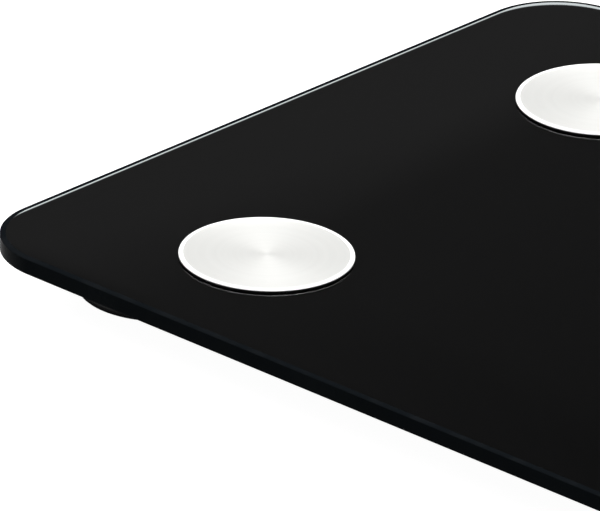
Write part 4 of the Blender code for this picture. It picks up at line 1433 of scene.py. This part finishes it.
@dataclass
class Housing:
    """The electronics housing: its tray, cover, sliding door, display holder and screws, with rounded edges.
    """

    tray_edge: float = 0.0011
    plate_edge: float = 0.00025

    def build(self, finishes: Finishes) -> None:
        """Make the housing's pieces in place of their CAD nodes.

        Args:
            finishes: the finishes.
        """
        tray = softened("housing_tray", "platform", self.tray_edge, 4, rim=True)
        cover = softened("housing_cover", "platform", self.plate_edge)
        door = softened("battery_door", "battery_door", self.plate_edge)
        for piece in (tray, cover, door):
            paint(piece, finishes["housing"])
        holder = softened("display_holder", "platform", self.plate_edge)
        paint(holder, finishes["white"])
        for corner in Corner:
            screw = softened("housing_screw_" + corner.label, "platform", self.plate_edge / 2)
            paint(screw, finishes["plated_steel"])


@dataclass
class Batteries:
    """The four cells, each with a printed jacket, a pale band and bare metal ends."""

    nub: tuple[float, float] = (0.0019, 0.0012)
    nub_edge: float = 0.0003
    edge: float = 0.0004
    band: tuple[float, float] = (0.0070, 0.0140)
    metal_end: float = 0.0009
    steps: int = 48

    def build(self, finishes: Finishes) -> None:
        """Make the cells in place of their CAD nodes.

        Args:
            finishes: the finishes.
        """
        for row, towards in ((1, -1), (2, 1)):
            for place in (1, 2):
                self.cell(f"{row}_{place}", towards, finishes)

    def cell(self, label: str, towards: int, finishes: Finishes) -> None:
        """One cell lying along the bay.

        Args:
            label: its row and place.
            towards: -1 if its positive end points left, 1 if right.
            finishes: the finishes.
        """
        node = "battery_cell_" + label
        low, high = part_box(node)
        radius, half = (high.y - low.y) / 2, (high.x - low.x) / 2
        nub_radius, nub_length = self.nub
        shoulder = half - nub_length
        metal_top, metal_foot = shoulder - self.metal_end, self.metal_end - half
        band_top, band_foot = (shoulder - reach for reach in self.band)
        heights = (shoulder - self.edge, metal_top, band_top, band_foot, metal_foot, self.edge - half)
        profile: Profile = [(0.0, half), (nub_radius - self.nub_edge, half)]
        profile += [(nub_radius, half - self.nub_edge), (nub_radius, shoulder)]
        profile.append((radius - self.edge, shoulder))
        profile += [(radius, height) for height in heights]
        profile += [(radius - self.edge, -half), (0.0, -half)]
        centre = middle(node)
        piece = turned_piece("battery_" + label, profile, tuple(centre), self.steps)
        piece.rotation_euler = (0.0, towards * math.pi / 2, 0.0)
        for finish in ("jacket", "band", "plated_steel"):
            piece.data.materials.append(finishes[finish])
        for face in piece.data.polygons:
            height = face.center.z
            if height > metal_top or height < metal_foot:
                face.material_index = 2
            elif band_foot < height < band_top:
                face.material_index = 1
        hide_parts(node)
        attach(piece, "platform")


@dataclass
class CarriedNodes:
    """The CAD nodes that keep their own shape and take a finish."""

    finish_of: dict[str, str] = field(
        default_factory=lambda: {
            "electrode_stud_": "plated_steel",
            "electrode_terminal_": "plated_steel",
            "electrode_lead_": "lead",
            "foot_bracket_": "foot",
            "load_cell_cable_": "cable",
            "load_cell_": "cell_steel",
            "battery_": "plated_steel",
            "circuit_board": "board",
            "controller_chip": "chip",
            "unit_button": "white",
            "unit_switch": "plated_steel",
        }
    )

    def dress(self, nodes: dict[str, bpy.types.Object], finishes: Finishes) -> None:
        """Give every carried node its finish.

        Args:
            nodes: the CAD nodes by name.
            finishes: the finishes.
        """
        for name, node in nodes.items():
            for start, finish in self.finish_of.items():
                if name.startswith(start):
                    paint_node(node, finishes[finish])
                    break


# ---------------------------------------------------------------- studio


@dataclass
class Studio:
    """The pale floor, the soft lights and the camera."""

    floor_size: float = 90.0
    floor_drop: float = 0.0002
    offset: Point = (4.2212, -4.5124, 2.8146)
    yaw: float = -42.028
    pitch: float = 24.531
    roll: float = 1.709
    lens: float = 1200.0
    card_distance: float = 1.0
    card_reach: float = 0.40
    card_ends: tuple[float, float] = (-1.5, 3.5)
    card_levels: tuple[float, float] = (0.25, 1.9)
    card_stops: tuple[Place, ...] = (
        (0.0, 0.105),
        (0.07, 0.095),
        (0.21, 0.071),
        (0.34, 0.066),
        (0.43, 0.062),
        (0.65, 0.053),
        (1.0, 0.043),
    )
    sky_stops: tuple[Place, ...] = (
        (0.0, 0.85),
        (0.10, 0.55),
        (0.26, 0.13),
        (0.50, 0.13),
        (0.66, 0.9),
        (1.0, 1.3),
    )
    floor_grey: Colour = (0.30, 0.30, 0.30)
    floor_glow: float = 0.97

    def camera(self) -> None:
        """Aim the long lens from in front of the near left corner."""
        low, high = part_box("glass_platform")
        yaw, pitch, roll = (math.radians(v) for v in (self.yaw, self.pitch, self.roll))
        ahead = Vector((math.sin(yaw) * math.cos(pitch), math.cos(yaw) * math.cos(pitch), -math.sin(pitch)))
        right = Vector((math.cos(yaw), -math.sin(yaw), 0.0))
        up = right.cross(ahead)
        tilted_right = right * math.cos(roll) + up * math.sin(roll)
        tilted_up = up * math.cos(roll) - right * math.sin(roll)
        data = bpy.data.cameras.new("camera")
        data.sensor_width = 36.0
        data.lens = self.lens
        data.clip_start = 0.05
        data.clip_end = 200.0
        camera = bpy.data.objects.new("camera", data)
        bpy.context.scene.collection.objects.link(camera)
        turn = Matrix((tilted_right, tilted_up, -ahead)).transposed()
        place = Vector((low.x, low.y, high.z)) + Vector(self.offset)
        camera.matrix_world = Matrix.Translation(place) @ turn.to_4x4()
        bpy.context.scene.camera = camera

    def floor(self) -> None:
        """A very large pale floor."""
        shape = bmesh.new()
        bmesh.ops.create_grid(shape, x_segments=8, y_segments=8, size=self.floor_size / 2)
        floor = link_mesh("floor", mesh_of("floor", shape), (0.0, 0.0, -self.floor_drop))
        material, graph, shader = start_material(
            "pale_floor",
            Base_Color=self.floor_grey,
            Roughness=0.9,
            Specular_IOR_Level=0.0,
            Emission_Color=(1.0, 1.0, 1.0),
        )
        seen = graph.node("ShaderNodeLightPath").outputs["Is Camera Ray"]
        graph.put(shader.inputs["Emission Strength"], graph.span(seen, 0.0, 1.0, 0.0, self.floor_glow))
        below = graph.node("ShaderNodeMixShader")
        graph.put(below.inputs[0], graph.node("ShaderNodeNewGeometry").outputs["Backfacing"])
        graph.put(below.inputs[1], shader.outputs[0])
        graph.put(below.inputs[2], graph.node("ShaderNodeBsdfTransparent").outputs[0])
        graph.put(material.node_tree.nodes["Material Output"].inputs["Surface"], below.outputs[0])
        paint(floor, material)

    def sky(self) -> None:
        """A studio surround: pale at the horizon, dim in a band above it and bright overhead."""
        world = bpy.data.worlds.new("studio")
        bpy.context.scene.world = world
        world.use_nodes = True
        graph = Graph(world.node_tree)
        back = world.node_tree.nodes["Background"]
        height = graph.axes(graph.node("ShaderNodeTexCoord").outputs["Generated"])[2]
        grey = graph.ramp(height, self.sky_stops)
        seen = graph.node("ShaderNodeLightPath").outputs["Is Camera Ray"]
        graph.put(back.inputs["Color"], graph.mix(seen, grey, (1.0, 1.0, 1.0)))

    def card(self) -> None:
        """A dim upright card beside the scale whose glow fades with height, for the glass to mirror."""
        low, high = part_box("glass_platform")
        x = low.x - self.card_distance
        shape = bmesh.new()
        (near, far), (foot, head) = self.card_ends, self.card_levels
        corners = ((near, foot), (far, foot), (far, head), (near, head))
        shape.faces.new([shape.verts.new((x, y, z)) for y, z in corners])
        card = link_mesh("card", mesh_of("card", shape))
        material = bpy.data.materials.new("card_glow")
        material.use_nodes = True
        graph = Graph(material.node_tree)
        climb = math.tan(math.radians(self.pitch)) / math.sin(math.radians(-self.yaw))
        start = self.card_distance * climb + high.z
        share = graph.span(graph.axes(graph.spot())[2], start, start + self.card_reach * climb)
        glow = graph.node("ShaderNodeEmission")
        graph.put(glow.inputs["Color"], graph.ramp(share, self.card_stops))
        graph.put(material.node_tree.nodes["Material Output"].inputs["Surface"], glow.outputs[0])
        paint(card, material)
        for ray in ("camera", "diffuse", "shadow", "transmission"):
            setattr(card, "visible_" + ray, False)

    def lamp(self, name: str, place: Point, size: float, power: float) -> None:
        """A square soft light aimed at the middle of the scale.

        Args:
            name: its name.
            place: where it hangs.
            size: its side.
            power: its power in watts.
        """
        data = bpy.data.lights.new(name, "AREA")
        data.size = size
        data.energy = power
        lamp = bpy.data.objects.new(name, data)
        lamp.location = place
        lamp.rotation_euler = (-Vector(place)).to_track_quat("-Z", "Y").to_euler()
        lamp.visible_camera = False
        bpy.context.scene.collection.objects.link(lamp)

    def build(self) -> None:
        """Set the whole studio."""
        self.camera()
        self.floor()
        self.sky()
        self.card()
        self.lamp("overhead", (0.3, 0.2, 3.0), 2.6, 104.0)
        self.lamp("left_side", (-2.6, -0.6, 2.2), 1.6, 40.0)
        scene = bpy.context.scene
        scene.view_settings.view_transform = "Standard"


def main() -> None:
    """Build the looks of the scale around its frame."""
    logging.basicConfig(level=logging.INFO, format="%(message)s")
    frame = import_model()
    Studio().build()
    finishes = Finishes()
    CarriedNodes().dress(frame["nodes"], finishes)
    GlassPlatform().build(finishes)
    LOG.info("glass platform built")
    Electrodes().build(finishes)
    LOG.info("electrodes built")
    for corner in Corner:
        Foot(corner).build(finishes)
        LOG.info("foot %s built", corner.label)
    for part in (Display(), Housing(), Batteries()):
        part.build(finishes)
        LOG.info("%s built", type(part).__name__.lower())


if __name__ == "__main__":
    main()
